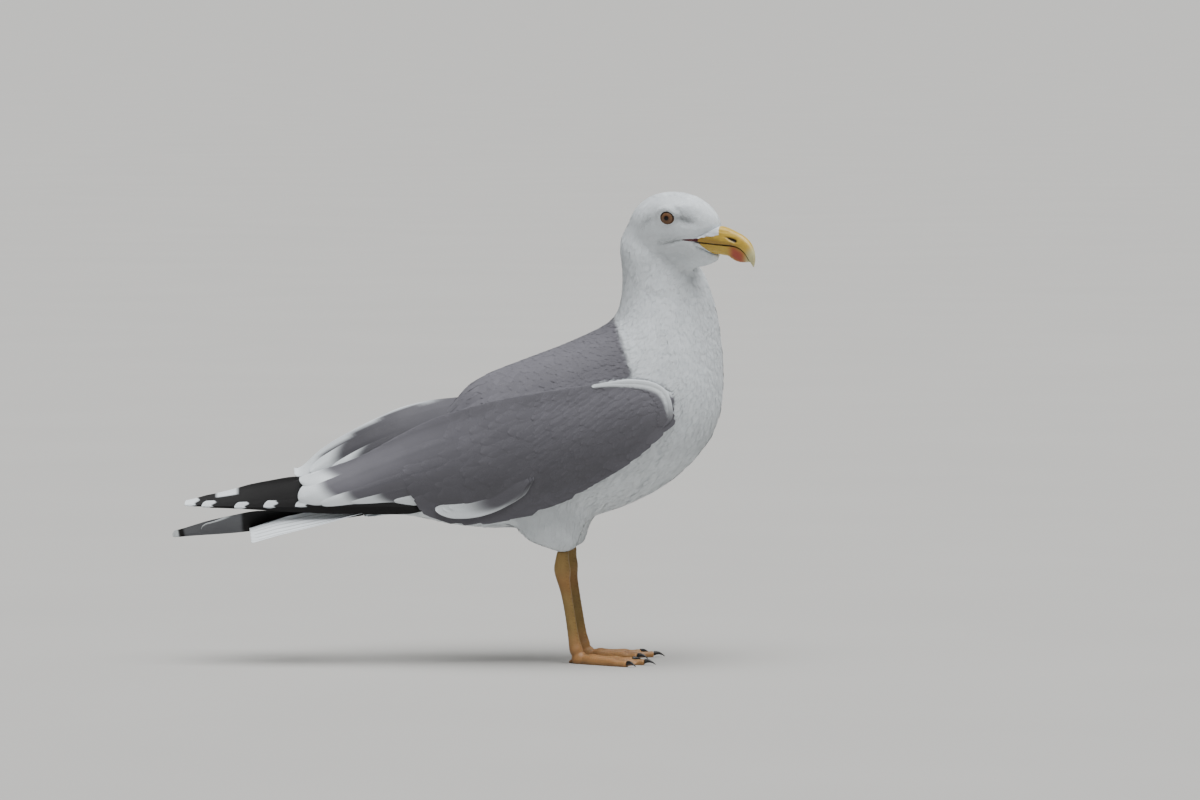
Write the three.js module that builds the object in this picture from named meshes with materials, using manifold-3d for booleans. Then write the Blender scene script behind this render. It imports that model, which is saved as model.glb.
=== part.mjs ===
// A yellow-legged gull, life size, standing still with its wings folded and its head turned to its right.
// Millimetres. +X points forward along the body, +Y to the bird's left, +Z up. The soles lie at z = 0.
import * as THREE from "three";
import { mergeVertices } from "three/addons/utils/BufferGeometryUtils.js";
import Module from "manifold-3d";

const wasm = await Module();
wasm.setup();

// ---- Driving dimensions ----
const gap = 0.3; // clearance between neighbouring pieces
const flatness = 0.1; // how far a facet may stray when needless edges are merged
const originShift = 106.3; // puts the origin under the middle of the length
const sideShift = 3.1; // and under the middle of the width
const eyeHeight = 347.8; // floor to the pupils
const eyeForward = 65; // middle of the head at the eyes
const eyeSide = -18.7;
const eyeHalfSpan = 16; // midline to the centre of an eyeball
const eyeAhead = 0.8; // eyeballs in front of the middle of the head
const eyeRadius = 6.8;
const headTurn = 42; // degrees, to the bird's right
const headNod = 12; // degrees, bill down
const legSpread = 25; // midline to a leg
const ankleHeight = 74; // tibia to tarsus joint
const toeJointHeight = 9;
const toeLengths = { inner: 43, middle: 54, outer: 50 };
const toeAngles = { inner: -21, middle: 3, outer: 27 }; // degrees, outwards from straight ahead
const hindToeLength = 7.6; // the small hind toe, which only just reaches the floor
const toeRadius = 4.7;
const webThickness = 1.8;
const clawLength = 9;
const billThinnest = 0.4; // least height of a half of the bill
const vaneEdge = 0.45; // thickness of a wing or a fan of feathers at its edges

// The body from the tail root to the top of the neck: a point on the back, a point on the front or belly
// (both x, z in the plane of symmetry), half the width, and the roundness power of the section.
const bodyStations = [
  { at: "tailRoot", back: [-193, 135], front: [-186, 112], half: 13, power: 2.0 },
  { at: "rump", back: [-163, 152], front: [-153, 114], half: 19, power: 2.1 },
  { at: "vent", back: [-131, 182], front: [-116, 106], half: 25, power: 2.2 },
  { at: "abdomen", back: [-103, 217.5], front: [-78, 102.5], half: 36, power: 2.2 },
  { at: "belly", back: [-70, 233.5], front: [-37, 103.5], half: 46, power: 2.2 },
  { at: "ribs", back: [-36, 246], front: [5, 114], half: 54, power: 2.2 },
  { at: "shoulder", back: [-9, 257.5], front: [43, 131], half: 57.5, power: 2.2 },
  { at: "breast", back: [6, 265.5], front: [75, 157], half: 58.5, power: 2.15 },
  { at: "crop", back: [13.5, 274], front: [94, 187], half: 54.5, power: 2.1 },
  { at: "neckBase", back: [16, 284], front: [98.5, 218], half: 48, power: 2.0 },
  { at: "neckMiddle", back: [17, 296], front: [96.3, 255], half: 39, power: 2.0 },
  { at: "neckUpper", back: [16.4, 310], front: [90, 285], half: 32.5, power: 2.0 },
  { at: "nape", back: [14.4, 326], front: [84, 301], half: 29.5, power: 2.0 },
  { at: "skullBase", back: [20, 341], front: [74, 318], half: 23, power: 2.0 },
];

// The head in its own frame: forward, crown, chin, half the width, power.
const headStations = [
  { forward: -43, crown: -2, chin: -24, half: 13, power: 2.0 },
  { forward: -38, crown: 5.4, chin: -31, half: 19.5, power: 2.0 },
  { forward: -28, crown: 12.9, chin: -37, half: 24.5, power: 2.05 },
  { forward: -14, crown: 18, chin: -40, half: 25.5, power: 2.1 },
  { forward: 2, crown: 20, chin: -40, half: 22, power: 2.1 },
  { forward: 14, crown: 19, chin: -38.5, half: 18, power: 2.1 },
  { forward: 24, crown: 16.2, chin: -36, half: 13.6, power: 2.1 },
  { forward: 32, crown: 11.8, chin: -33, half: 10.4, power: 2.2 },
  { forward: 38.5, crown: 5, chin: -29.5, half: 7.6, power: 2.2 },
  { forward: 44, crown: -16, chin: -26.5, half: 3.6, power: 2.0 },
];

// The bill in the head's frame: ridge, cutting edge and lower edge, half the width.
const billStations = [
  { forward: 27, ridge: -9, edge: -13.4, lower: -17.4, half: 13 },
  { forward: 35, ridge: -4, edge: -12.6, lower: -20, half: 10.4 },
  { forward: 41, ridge: 2.7, edge: -11.8, lower: -20.2, half: 8.3 },
  { forward: 47, ridge: 2, edge: -11.2, lower: -19.4, half: 7.2 },
  { forward: 54, ridge: 1.2, edge: -10.2, lower: -19, half: 6 },
  { forward: 60, ridge: 0.4, edge: -9.4, lower: -20.2, half: 5.3 },
  { forward: 65, ridge: -0.7, edge: -9.4, lower: -20.6, half: 4.7 },
  { forward: 70, ridge: -3, edge: -11.6, lower: -19.6, half: 3.9 },
  { forward: 75, ridge: -6.6, edge: -16.4, lower: -18.4, half: 2.8 },
  { forward: 78.5, ridge: -12.2, edge: -19.4, lower: -18.6, half: 1.7 },
  { forward: 79.8, ridge: -18.4, edge: -21.6, lower: -19, half: 0.7 },
];

// A folded wing from the bend of the wing to the tertial tips: top and bottom edges (out from the
// midline, up), how far the middle swells outwards, and thickness.
const wingStations = [
  { x: 57.5, top: [54.8, 208], bottom: [54.8, 200], swell: 0.5, thick: 2.5, lift: 0 },
  { x: 51.5, top: [55.5, 216.5], bottom: [55.2, 185], swell: 3.2, thick: 7, lift: 0 },
  { x: 38, top: [56.2, 222.5], bottom: [56.4, 172], swell: 7, thick: 12, lift: 0 },
  { x: 16, top: [55.3, 222.5], bottom: [55.3, 155], swell: 9.5, thick: 15, lift: 0 },
  { x: -14, top: [51, 217.5], bottom: [50.5, 136.5], swell: 11.7, thick: 17, lift: 0 },
  { x: -50, top: [43.5, 211.5], bottom: [43.5, 122.5], swell: 13, thick: 17, lift: 0 },
  { x: -86, top: [34.5, 204.5], bottom: [37, 116.5], swell: 13.7, thick: 12, lift: 2 },
  { x: -110, top: [25, 197], bottom: [32, 110.5], swell: 15.5, thick: 8, lift: 7 },
  { x: -131, top: [14, 190], bottom: [30, 121.5], swell: 14.5, thick: 5.5, lift: 13 },
  { x: -156, top: [7, 177], bottom: [28, 127], swell: 12, thick: 4.2, lift: 20.5 },
  { x: -186, top: [4, 160], bottom: [26, 124.5], swell: 9, thick: 3.4, lift: 23.5 },
  { x: -213, top: [5, 150.5], bottom: [23, 121.5], swell: 6, thick: 2.8, lift: 18 },
  { x: -227, top: [8, 147], bottom: [20, 123], swell: 2.5, thick: 2, lift: 10 },
  { x: -234.5, top: [12, 142], bottom: [16, 133], swell: 0.8, thick: 1.6, lift: 3 },
];
// How each wing is held: the left one lies higher over the back (its stations' lift), nearer the midline.
const wingHold = {
  right: { side: -1, lift: 0, inward: 0 },
  left: { side: 1, lift: 1, inward: 6 },
};

// The closed primaries beyond the wing: top and bottom edges (x, out from the midline, up) and thickness.
const primaryStations = {
  right: [
    { x: -122, top: [24, 128], bottom: [30, 117], thick: 2.4 },
    { x: -160, top: [20, 136], bottom: [29, 116.5], thick: 3.2 },
    { x: -205, top: [13, 145], bottom: [24, 116], thick: 3.4 },
    { x: -240, top: [3, 144.5], bottom: [17, 116.5], thick: 3.2 },
    { x: -270, top: [-5, 138.5], bottom: [9, 117.5], thick: 2.8 },
    { x: -300, top: [-10, 131], bottom: [1, 118.5], thick: 2.2 },
    { x: -324, top: [-12, 124], bottom: [-5, 119.5], thick: 1.6 },
  ],
  left: [
    { x: -122, top: [24, 129], bottom: [30, 117], thick: 2.4 },
    { x: -160, top: [18, 134], bottom: [29, 113.5], thick: 3.2 },
    { x: -205, top: [6, 128], bottom: [24, 110], thick: 3.2 },
    { x: -240, top: [-3, 118], bottom: [17, 99], thick: 3 },
    { x: -270, top: [-7, 117.5], bottom: [11, 96.5], thick: 2.6 },
    { x: -305, top: [-7, 110], bottom: [4, 94.8], thick: 2.2 },
    { x: -332, top: [-5, 101.5], bottom: [0, 94.6], thick: 1.6 },
  ],
};

// The closed tail: an arched sheet, from its root to its tip.
const tailStations = [
  { x: -180, ridge: 128, drop: 10, half: 17, thick: 8 },
  { x: -215, ridge: 120, drop: 12.5, half: 24, thick: 6.5 },
  { x: -250, ridge: 112.5, drop: 14, half: 29.5, thick: 4.6 },
  { x: -273, ridge: 104.5, drop: 12.5, half: 32.5, thick: 3 },
];

// A feathered thigh, from inside the belly down: height, middle, half length, half width.
const thighStations = [
  { up: 128, forward: -34, long: 30, wide: 17 },
  { up: 113, forward: -36, long: 30.5, wide: 17 },
  { up: 104, forward: -38, long: 30, wide: 15.5 },
  { up: 98, forward: -37, long: 25.5, wide: 13 },
  { up: 92.5, forward: -32.5, long: 18.5, wide: 10 },
  { up: 88, forward: -27.5, long: 10.5, wide: 7.2 },
];
// The bare leg below it: height, middle, half length, half width.
const legStations = [
  { up: 87.5, forward: -27.8, long: 4.6, wide: 3.4 },
  { up: ankleHeight + 6, forward: -28.6, long: 5.4, wide: 4.1 },
  { up: ankleHeight - 1, forward: -28.4, long: 6.5, wide: 4.9 },
  { up: ankleHeight - 9, forward: -27.6, long: 5.2, wide: 3.9 },
  { up: ankleHeight - 19, forward: -25.4, long: 4.2, wide: 3.0 },
  { up: 38, forward: -22.4, long: 3.9, wide: 2.8 },
  { up: 20, forward: -19.6, long: 4.3, wide: 3.2 },
  { up: toeJointHeight + 1.5, forward: -17.6, long: 5.4, wide: 4.2 },
];
const footHeel = -16.5; // where the toes spread from
const footJoint = { radius: 6.2, narrow: 0.85, ahead: 1.4, up: 4 }; // the ball of the foot
const hindToe = { radius: 2.6, inward: 2, sink: 0.7 };
const leftFootForward = 5.7; // the left leg stands a little ahead
const footTurn = { right: 13, left: 3 }; // degrees each foot is turned out

// The grey mantle and shoulder feathers: the part of the back behind and above this line (x, z).
const mantleLine = [
  [-3, 300], [1, 268], [8, 243], [13, 222], [10, 211], [-14, 206], [-50, 200], [-86, 192],
  [-110, 184], [-131, 172], [-150, 152], [-175, 140], [-215, 150], [-215, 300],
];

// ---- Shape tools ----
const radians = THREE.MathUtils.degToRad;

// Smoothly interpolated rows between numeric stations, each at its own parameter.
function smoothStations(rows, steps) {
  const found = [];
  const pick = (i) => rows[Math.min(Math.max(i, 0), rows.length - 1)];
  for (let i = 0; i < rows.length - 1; i++) {
    for (let k = 0; k < steps; k++) {
      const t = k / steps;
      found.push(
        rows[i].map((_, c) => {
          const [a, b, d, e] = [pick(i - 1)[c], pick(i)[c], pick(i + 1)[c], pick(i + 2)[c]];
          const slopeIn = (d - a) / 2;
          const slopeOut = (e - b) / 2;
          const t2 = t * t;
          const t3 = t2 * t;
          return (2 * t3 - 3 * t2 + 1) * b + (t3 - 2 * t2 + t) * slopeIn
            + (3 * t2 - 2 * t3) * d + (t3 - t2) * slopeOut;
        }),
      );
    }
  }
  found.push(rows[rows.length - 1]);
  return found;
}

// A solid through closed rings of points, with a flat fan on each end.
function solidThrough(rings) {
  const sides = rings[0].length;
  const points = rings.flat();
  const faces = [];
  for (let i = 0; i < rings.length - 1; i++) {
    for (let j = 0; j < sides; j++) {
      const next = (j + 1) % sides;
      const [a, b] = [i * sides + j, i * sides + next];
      const [c, d] = [a + sides, b + sides];
      faces.push(a, b, d, a, d, c);
    }
  }
  const middle = (ring) => ring.reduce((sum, p) => sum.add(p), new THREE.Vector3()).divideScalar(sides);
  const first = points.push(middle(rings[0])) - 1;
  const last = points.push(middle(rings[rings.length - 1])) - 1;
  const start = (rings.length - 1) * sides;
  for (let j = 0; j < sides; j++) {
    const next = (j + 1) % sides;
    faces.push(first, next, j, last, start + j, start + next);
  }
  const made = solidFrom(points, faces);
  if (made.volume() > 0) return made;
  return solidFrom(points, faces.map((_, i) => faces[i - (i % 3) + (2 - (i % 3))]));
}

function solidFrom(points, faces) {
  const geometry = new THREE.BufferGeometry().setFromPoints(points).setIndex(faces);
  return solidOf(geometry);
}

// A manifold solid from any closed three.js geometry.
function solidOf(geometry) {
  const bare = geometry.clone();
  bare.deleteAttribute("normal");
  bare.deleteAttribute("uv");
  const merged = mergeVertices(bare, 1e-4);
  const vertProperties = new Float32Array(merged.attributes.position.array);
  return new wasm.Manifold(new wasm.Mesh({
    numProp: 3, vertProperties, triVerts: new Uint32Array(merged.index.array),
  }));
}

// Directions round a section, and how much a power rounds it.
function sectionAngles(sides) {
  return Array.from({ length: sides }, (_, j) => (2 * Math.PI * j) / sides);
}
const rounded = (value, power) => Math.sign(value) * Math.abs(value) ** (2 / power);

// The largest body of a solid, without the slivers that a cut can leave.
function largest(solid) {
  return solid.decompose().reduce((best, s) => (s.volume() > best.volume() ? s : best));
}

// A limb through level ellipses.
function upright(rows, sides, steps, shift, grow = 0) {
  const rings = smoothStations(rows.map((r) => [r.up, r.forward, r.long, r.wide]), steps)
    .map(([up, forward, long, wide]) => sectionAngles(sides).map((t) => new THREE.Vector3(
      forward + shift[0] + (long + grow) * Math.cos(t), shift[1] + (wide + grow) * Math.sin(t), up)));
  return solidThrough(rings);
}

// ---- Body and neck ----
const bodySides = 22;
const bodySteps = 2;
const neckStart = 8 * bodySteps; // the ring at the crop, where the neck begins

function bodyRings() {
  const rows = bodyStations.map((s) => [...s.back, ...s.front, s.half, s.power]);
  return smoothStations(rows, bodySteps).map(([backX, backZ, frontX, frontZ, half, power]) => {
    const middle = new THREE.Vector3((backX + frontX) / 2, 0, (backZ + frontZ) / 2);
    const reach = new THREE.Vector3(backX, 0, backZ).sub(middle);
    return sectionAngles(bodySides).map((t) => middle.clone()
      .addScaledVector(reach, rounded(Math.cos(t), power))
      .add(new THREE.Vector3(0, half * rounded(Math.sin(t), power), 0)));
  });
}

// The body between two of its rings. A lead leaves a thin cut before the first one.
function bodyPart(from, to, lead = 0) {
  const rings = bodyRings().slice(from, to + 1);
  if (lead > 0) {
    const nearest = Math.min(...rings[0].map((p, j) => p.distanceTo(rings[1][j])));
    rings[0] = rings[0].map((p, j) => p.clone().lerp(rings[1][j], lead / nearest));
  }
  return solidThrough(rings);
}

// The space behind and above the mantle line, right across the body.
function mantleRoom(clear = 0) {
  const outline = new THREE.Shape(mantleLine.map(([x, z]) => new THREE.Vector2(x, z)));
  const across = 200; // wider than the body
  const slab = new THREE.ExtrudeGeometry(outline, { depth: across, bevelEnabled: false });
  slab.translate(clear, -clear, -across / 2).rotateX(Math.PI / 2);
  return solidOf(slab);
}

// ---- Head and bill, made in the head's own frame and then turned ----
const headPlace = new THREE.Matrix4().makeTranslation(eyeForward, eyeSide, eyeHeight)
  .multiply(new THREE.Matrix4().makeRotationZ(-radians(headTurn)))
  .multiply(new THREE.Matrix4().makeRotationY(radians(headNod)));
const placed = (solid, matrix) => solid.transform(matrix.elements);

function headSolid(grow = 0) {
  const rows = headStations.map((s) => [s.forward, s.crown, s.chin, s.half, s.power]);
  const rings = smoothStations(rows, 2).map(([forward, crown, chin, half, power]) => {
    const tall = (crown - chin) / 2 + grow;
    const middle = (crown + chin) / 2;
    return sectionAngles(18).map((t) => new THREE.Vector3(
      forward, (half + grow) * rounded(Math.sin(t), power), middle + tall * rounded(Math.cos(t), power)));
  });
  return placed(solidThrough(rings), headPlace);
}

// One half of the bill: an arch between the cutting edge and the ridge or the lower edge.
function billSolid(outer, from, to, grow = 0) {
  const rows = billStations.slice(from, to).map((s) => [s.forward, s[outer], s.edge, s.half]);
  rows[0][0] -= grow;
  rows[rows.length - 1][0] += grow;
  const away = outer === "ridge" ? 1 : -1;
  const flare = 0.18; // how much the sides lean in towards the ridge
  const fullness = 0.8;
  const palate = 0.5; // width of the flat between the cutting edges, as a share
  const rings = smoothStations(rows, 2).map(([forward, far, edge, half]) => {
    const base = edge + away * (gap / 2 - grow);
    const reach = Math.max((far - base) * away + grow, billThinnest);
    const arch = Array.from({ length: 7 }, (_, j) => (Math.PI * j) / 6);
    return [
      ...arch.map((t) => new THREE.Vector3(forward, (half + grow) * Math.cos(t) * (1 - flare * Math.sin(t)),
        base + away * reach * Math.sin(t) ** fullness)),
      new THREE.Vector3(forward, -half * palate, base),
      new THREE.Vector3(forward, half * palate, base),
    ];
  });
  return placed(solidThrough(rings), headPlace);
}

function eyeSolid(side, grow = 0) {
  const ball = solidOf(new THREE.SphereGeometry(eyeRadius + grow, 14, 9));
  const spot = new THREE.Matrix4().makeTranslation(eyeAhead, side * eyeHalfSpan, 0);
  return placed(ball, headPlace.clone().multiply(spot));
}

// ---- Wings, primaries and tail ----
// A curved sheet from its top edge to its bottom edge, swelling outwards, thick in the middle.
function sheetRing({ x, top, bottom, swell, thick }, side, grow) {
  const across = 7;
  const swellPower = 0.8;
  const thickPower = 0.55;
  const at = (share, inner) => {
    const arch = Math.sin(Math.PI * share);
    const out = THREE.MathUtils.lerp(top[0], bottom[0], share) + swell * arch ** swellPower;
    const depth = vaneEdge + (thick - vaneEdge) * arch ** thickPower;
    return new THREE.Vector3(x, side * (inner ? out - depth - grow : out + grow),
      THREE.MathUtils.lerp(top[1] + grow, bottom[1] - grow, share));
  };
  const shares = Array.from({ length: across }, (_, k) => k / (across - 1));
  return [...shares.map((share) => at(share, false)), ...shares.toReversed().map((share) => at(share, true))];
}

// How far a station moves along the body when a solid grows: only the first and the last one do.
const endShift = (i, count, grow) => (i === 0 ? grow : 0) - (i === count - 1 ? grow : 0);

function wingSolid(name, grow = 0) {
  const hold = wingHold[name];
  const lowerShare = 0.45; // how much of the lift the lower edge takes
  const rings = wingStations.map((s, i) => {
    const inward = hold.inward * THREE.MathUtils.smoothstep(-s.x, 100, 190); // only behind the body
    const lift = hold.lift * s.lift;
    const held = {
      ...s,
      x: s.x + endShift(i, wingStations.length, grow),
      top: [s.top[0] - inward, s.top[1] + lift],
      bottom: [s.bottom[0] - inward, s.bottom[1] + lift * lowerShare],
    };
    return sheetRing(held, hold.side, grow);
  });
  return solidThrough(rings);
}

function primarySolid(name, grow = 0) {
  const stations = primaryStations[name];
  const rings = stations.map((s, i) => {
    const held = { ...s, x: s.x + endShift(i, stations.length, grow), swell: s.thick };
    return sheetRing(held, wingHold[name].side, grow);
  });
  return solidThrough(rings);
}

function tailSolid(grow = 0) {
  const rows = tailStations.map((s, i) =>
    [s.x + endShift(i, tailStations.length, grow), s.ridge, s.drop, s.half, s.thick]);
  const across = 9;
  const thinner = 0.6; // how much thinner the sheet is at its sides
  const shares = Array.from({ length: across }, (_, k) => (2 * k) / (across - 1) - 1);
  return solidThrough(smoothStations(rows, 2).map(([x, ridge, drop, half, thick]) => {
    const at = (q, below) => new THREE.Vector3(x, (half + grow) * q,
      ridge - drop * q * q - (below ? thick * (1 - thinner * q * q) + grow : -grow));
    return [...shares.map((q) => at(q, false)), ...shares.toReversed().map((q) => at(q, true))];
  }));
}

// ---- Legs and feet ----
function toeTip(name, side) {
  const angle = radians(toeAngles[name]) * side;
  const reach = toeLengths[name];
  return new THREE.Vector3(footHeel + reach * Math.cos(angle), reach * Math.sin(angle), 0);
}

// A tapering toe with a knuckle at each joint, flat underneath.
function toeSolid(from, to, radius) {
  const along = to.clone().sub(from);
  const across = new THREE.Vector3(-along.y, along.x, 0).normalize();
  const rings = [];
  const steps = 7;
  const joints = 3;
  const swelling = 0.13; // at each joint, as a share of the radius
  const tipShare = 0.55;
  const heightShare = 0.62; // the rest of the radius lies below the floor and is cut off flat
  for (let i = 0; i <= steps; i++) {
    const t = i / steps;
    const knuckle = 1 + swelling * Math.cos(2 * Math.PI * t * joints);
    const size = THREE.MathUtils.lerp(radius, radius * tipShare, t) * knuckle;
    const middle = from.clone().addScaledVector(along, t);
    rings.push(sectionAngles(8).map((a) => middle.clone()
      .addScaledVector(across, size * Math.cos(a))
      .add(new THREE.Vector3(0, 0, size * (heightShare + Math.sin(a))))));
  }
  return solidThrough(rings);
}

function footSolid(side) {
  const heel = new THREE.Vector3(footHeel, 0, 0);
  const tips = ["inner", "middle", "outer"].map((name) => toeTip(name, side));
  const toes = tips.map((tip) => toeSolid(heel, tip, toeRadius));
  const hindRoot = new THREE.Vector3(footHeel, -hindToe.inward * side, hindToe.radius);
  const hindTip = new THREE.Vector3(footHeel - hindToeLength, -2 * hindToe.inward * side, -hindToe.sink);
  const hind = toeSolid(hindRoot, hindTip, hindToe.radius);
  const ball = new THREE.SphereGeometry(footJoint.radius, 10, 7).scale(1, footJoint.narrow, 1)
    .translate(footHeel + footJoint.ahead, 0, footJoint.up);
  const webBack = 3; // the webs end a little behind the toe tips
  const webScoop = 0.16; // how far a web's margin is drawn in between two toes
  const web = new THREE.Shape();
  web.moveTo(heel.x, heel.y);
  web.lineTo(tips[0].x - webBack, tips[0].y);
  for (const [from, to] of [[tips[0], tips[1]], [tips[1], tips[2]]]) {
    const middle = from.clone().add(to).multiplyScalar(0.5).lerp(heel, webScoop);
    web.quadraticCurveTo(middle.x, middle.y, to.x - webBack, to.y);
  }
  web.lineTo(heel.x, heel.y);
  const webForm = { depth: webThickness, bevelEnabled: false, curveSegments: 5 };
  const sheet = new THREE.ExtrudeGeometry(web, webForm);
  const aboveFloor = new THREE.BoxGeometry(200, 200, 100).translate(0, 0, 50);
  return [...toes, hind, solidOf(ball), solidOf(sheet)].reduce((sum, part) => sum.add(part))
    .intersect(solidOf(aboveFloor));
}

function clawSolid(name, side) {
  const tip = toeTip(name, side);
  const ahead = tip.clone().sub(new THREE.Vector3(footHeel, 0, 0)).normalize();
  const across = new THREE.Vector3(-ahead.y, ahead.x, 0);
  const claw = { root: 1.9, tip: 0.35, tall: 1.15, up: 3, arch: 0.8, drop: 2.4 };
  const rings = [];
  const steps = 4;
  for (let i = 0; i <= steps; i++) {
    const t = i / steps;
    const size = THREE.MathUtils.lerp(claw.root, claw.tip, t);
    const up = claw.up + claw.arch * Math.sin(Math.PI * t) - claw.drop * t * t;
    const middle = tip.clone().addScaledVector(ahead, gap + clawLength * t).setZ(up);
    rings.push(sectionAngles(6).map((a) => middle.clone()
      .addScaledVector(across, size * Math.cos(a))
      .add(new THREE.Vector3(0, 0, size * claw.tall * Math.sin(a)))));
  }
  return solidThrough(rings);
}

// ---- Putting the bird together ----
const plumageWhite = new THREE.MeshStandardMaterial({ color: 0xe9ecee, roughness: 0.85 });
const mantleGrey = new THREE.MeshStandardMaterial({ color: 0x85838c, roughness: 0.8 });
const primaryBlack = new THREE.MeshStandardMaterial({ color: 0x1c1a1c, roughness: 0.6 });
const billYellow = new THREE.MeshStandardMaterial({ color: 0xd2ab3c, roughness: 0.4 });
const legYellow = new THREE.MeshStandardMaterial({ color: 0xbf8a3c, roughness: 0.55 });
const clawBlack = new THREE.MeshStandardMaterial({ color: 0x1a1716, roughness: 0.4 });
const irisYellow = new THREE.MeshStandardMaterial({ color: 0xb99a52, roughness: 0.1 });

const bird = new THREE.Group();
bird.position.set(originShift, sideShift, 0);

function add(name, solid, material) {
  const { numProp, vertProperties, triVerts } = solid.simplify(flatness).getMesh();
  const places = new Float32Array((vertProperties.length / numProp) * 3);
  for (let i = 0; i < places.length / 3; i++) {
    places.set(vertProperties.subarray(i * numProp, i * numProp + 3), i * 3);
  }
  const geometry = new THREE.BufferGeometry()
    .setAttribute("position", new THREE.BufferAttribute(places, 3))
    .setIndex(new THREE.BufferAttribute(new Uint32Array(triVerts), 1));
  geometry.computeVertexNormals();
  const mesh = new THREE.Mesh(geometry, material);
  mesh.name = name;
  bird.add(mesh);
}

const sides = { right: -1, left: 1 };
const legShift = (name) => [name === "left" ? leftFootForward : 0, sides[name] * legSpread];
const billUpper = (grow) => billSolid("ridge", 0, billStations.length, grow);
const billLower = (grow) => billSolid("lower", 0, billStations.length - 2, grow);
const lastRing = (bodyStations.length - 1) * bodySteps;

// Head, bill and eyes
let head = headSolid().subtract(billUpper(gap * 2)).subtract(billLower(gap * 2));
for (const side of Object.values(sides)) head = head.subtract(eyeSolid(side, gap));
add("head", largest(head), plumageWhite);
add("bill_upper", billUpper(0), billYellow);
add("bill_lower", largest(billLower(0).subtract(billUpper(gap))), billYellow);

// Neck and trunk, cut by what lies in them
const headRoom = headSolid(gap);
const fillers = [billUpper(gap), billLower(gap)];
let neck = bodyPart(neckStart, lastRing, gap).subtract(headRoom);
for (const f of fillers) neck = neck.subtract(f);
add("neck", largest(neck), plumageWhite);
let trunk = bodyPart(0, neckStart);
for (const name of Object.keys(sides)) {
  trunk = trunk.subtract(wingSolid(name, gap)).subtract(primarySolid(name, gap));
  trunk = trunk.subtract(upright(thighStations, 14, 2, legShift(name), gap)); // the root of the thigh
}
trunk = trunk.subtract(tailSolid(gap));
add("mantle", largest(trunk.intersect(mantleRoom())), mantleGrey);
add("trunk", largest(trunk.subtract(mantleRoom(gap))), plumageWhite);

// Tail, wings and primaries
const rightWingRoom = wingSolid("right", gap);
const leftWingRoom = wingSolid("left", gap);
const wingRoom = rightWingRoom.add(leftWingRoom);
const rightPrimaryRoom = primarySolid("right", gap);
const tail = tailSolid().subtract(wingRoom).subtract(rightPrimaryRoom).subtract(primarySolid("left", gap));
const rightWing = wingSolid("right");
const leftWing = wingSolid("left").subtract(rightWingRoom);
const rightPrimaries = primarySolid("right").subtract(wingRoom);
const leftPrimaries = primarySolid("left").subtract(wingRoom).subtract(rightPrimaryRoom);
add("tail", largest(tail), plumageWhite);
add("wing_right", rightWing, mantleGrey);
add("wing_left", largest(leftWing), mantleGrey);
add("primaries_right", largest(rightPrimaries), primaryBlack);
add("primaries_left", largest(leftPrimaries), primaryBlack);

// Eyes, thighs, legs, feet and claws
const thighSolid = (shift, grow = 0) => upright(thighStations, 14, 2, shift, grow);
const legSolid = (shift, grow = 0) => upright(legStations, 11, 2, shift, grow);
for (const [name, side] of Object.entries(sides)) {
  add(`eye_${name}`, eyeSolid(side), irisYellow);
  const shift = legShift(name);
  const thigh = thighSolid(shift).subtract(wingSolid(name, gap));
  add(`thigh_${name}`, largest(thigh), plumageWhite);
  const footPlace = new THREE.Matrix4().makeTranslation(footHeel + shift[0], shift[1], 0)
    .multiply(new THREE.Matrix4().makeRotationZ(side * radians(footTurn[name])))
    .multiply(new THREE.Matrix4().makeTranslation(-footHeel, 0, 0));
  const foot = placed(footSolid(side), footPlace);
  const leg = legSolid(shift).subtract(thighSolid(shift, gap));
  add(`leg_${name}`, largest(leg), legYellow);
  add(`foot_${name}`, largest(foot.subtract(legSolid(shift, gap))), legYellow);
  for (const toe of Object.keys(toeLengths)) {
    add(`claw_${name}_${toe}`, placed(clawSolid(toe, side), footPlace), clawBlack);
  }
}

export default bird;
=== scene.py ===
# A yellow-legged gull, life size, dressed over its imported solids: one skin, a coat of small feathers,
# the large wing and tail feathers, bill, eyes, legs and feet. Metres, +X forward, +Y the bird's left, +Z up.
import math

import bmesh
import bpy
import numpy as np
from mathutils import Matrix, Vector
from mathutils.bvhtree import BVHTree


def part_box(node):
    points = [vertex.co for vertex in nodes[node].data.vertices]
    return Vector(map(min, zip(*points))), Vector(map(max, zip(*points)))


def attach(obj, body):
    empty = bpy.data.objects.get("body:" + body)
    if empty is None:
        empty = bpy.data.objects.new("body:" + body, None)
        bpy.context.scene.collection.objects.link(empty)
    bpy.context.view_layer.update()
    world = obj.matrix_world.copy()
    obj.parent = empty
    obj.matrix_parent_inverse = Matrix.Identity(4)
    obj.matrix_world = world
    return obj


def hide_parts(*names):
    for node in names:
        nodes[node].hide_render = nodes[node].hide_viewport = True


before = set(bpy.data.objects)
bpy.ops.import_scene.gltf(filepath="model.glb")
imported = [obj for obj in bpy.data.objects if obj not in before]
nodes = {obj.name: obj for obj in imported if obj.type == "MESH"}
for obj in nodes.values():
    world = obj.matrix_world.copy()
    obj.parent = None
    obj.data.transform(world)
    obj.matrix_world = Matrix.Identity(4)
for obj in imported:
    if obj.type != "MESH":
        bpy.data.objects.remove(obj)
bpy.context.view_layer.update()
mm = 0.001
sides = {"right": -1, "left": 1}
seeded = np.random.default_rng(11)


def linear(colour):  # sRGB hex to linear RGBA
    parts = [int(colour[i:i + 2], 16) / 255 for i in (1, 3, 5)]
    return [c / 12.92 if c <= 0.04045 else ((c + 0.055) / 1.055) ** 2.4 for c in parts] + [1.0]


def rgb(colour):  # the same without its alpha, for painting points
    return np.array(linear(colour)[:3])


def step(low, high, value):  # 0 at low, 1 at high, smooth between
    t = np.clip((value - low) / (high - low), 0, 1)
    return t * t * (3 - 2 * t)


def hump(value, width):  # 1 at nothing, fading away on both sides
    return np.exp(-(value / width) ** 2)


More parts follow.
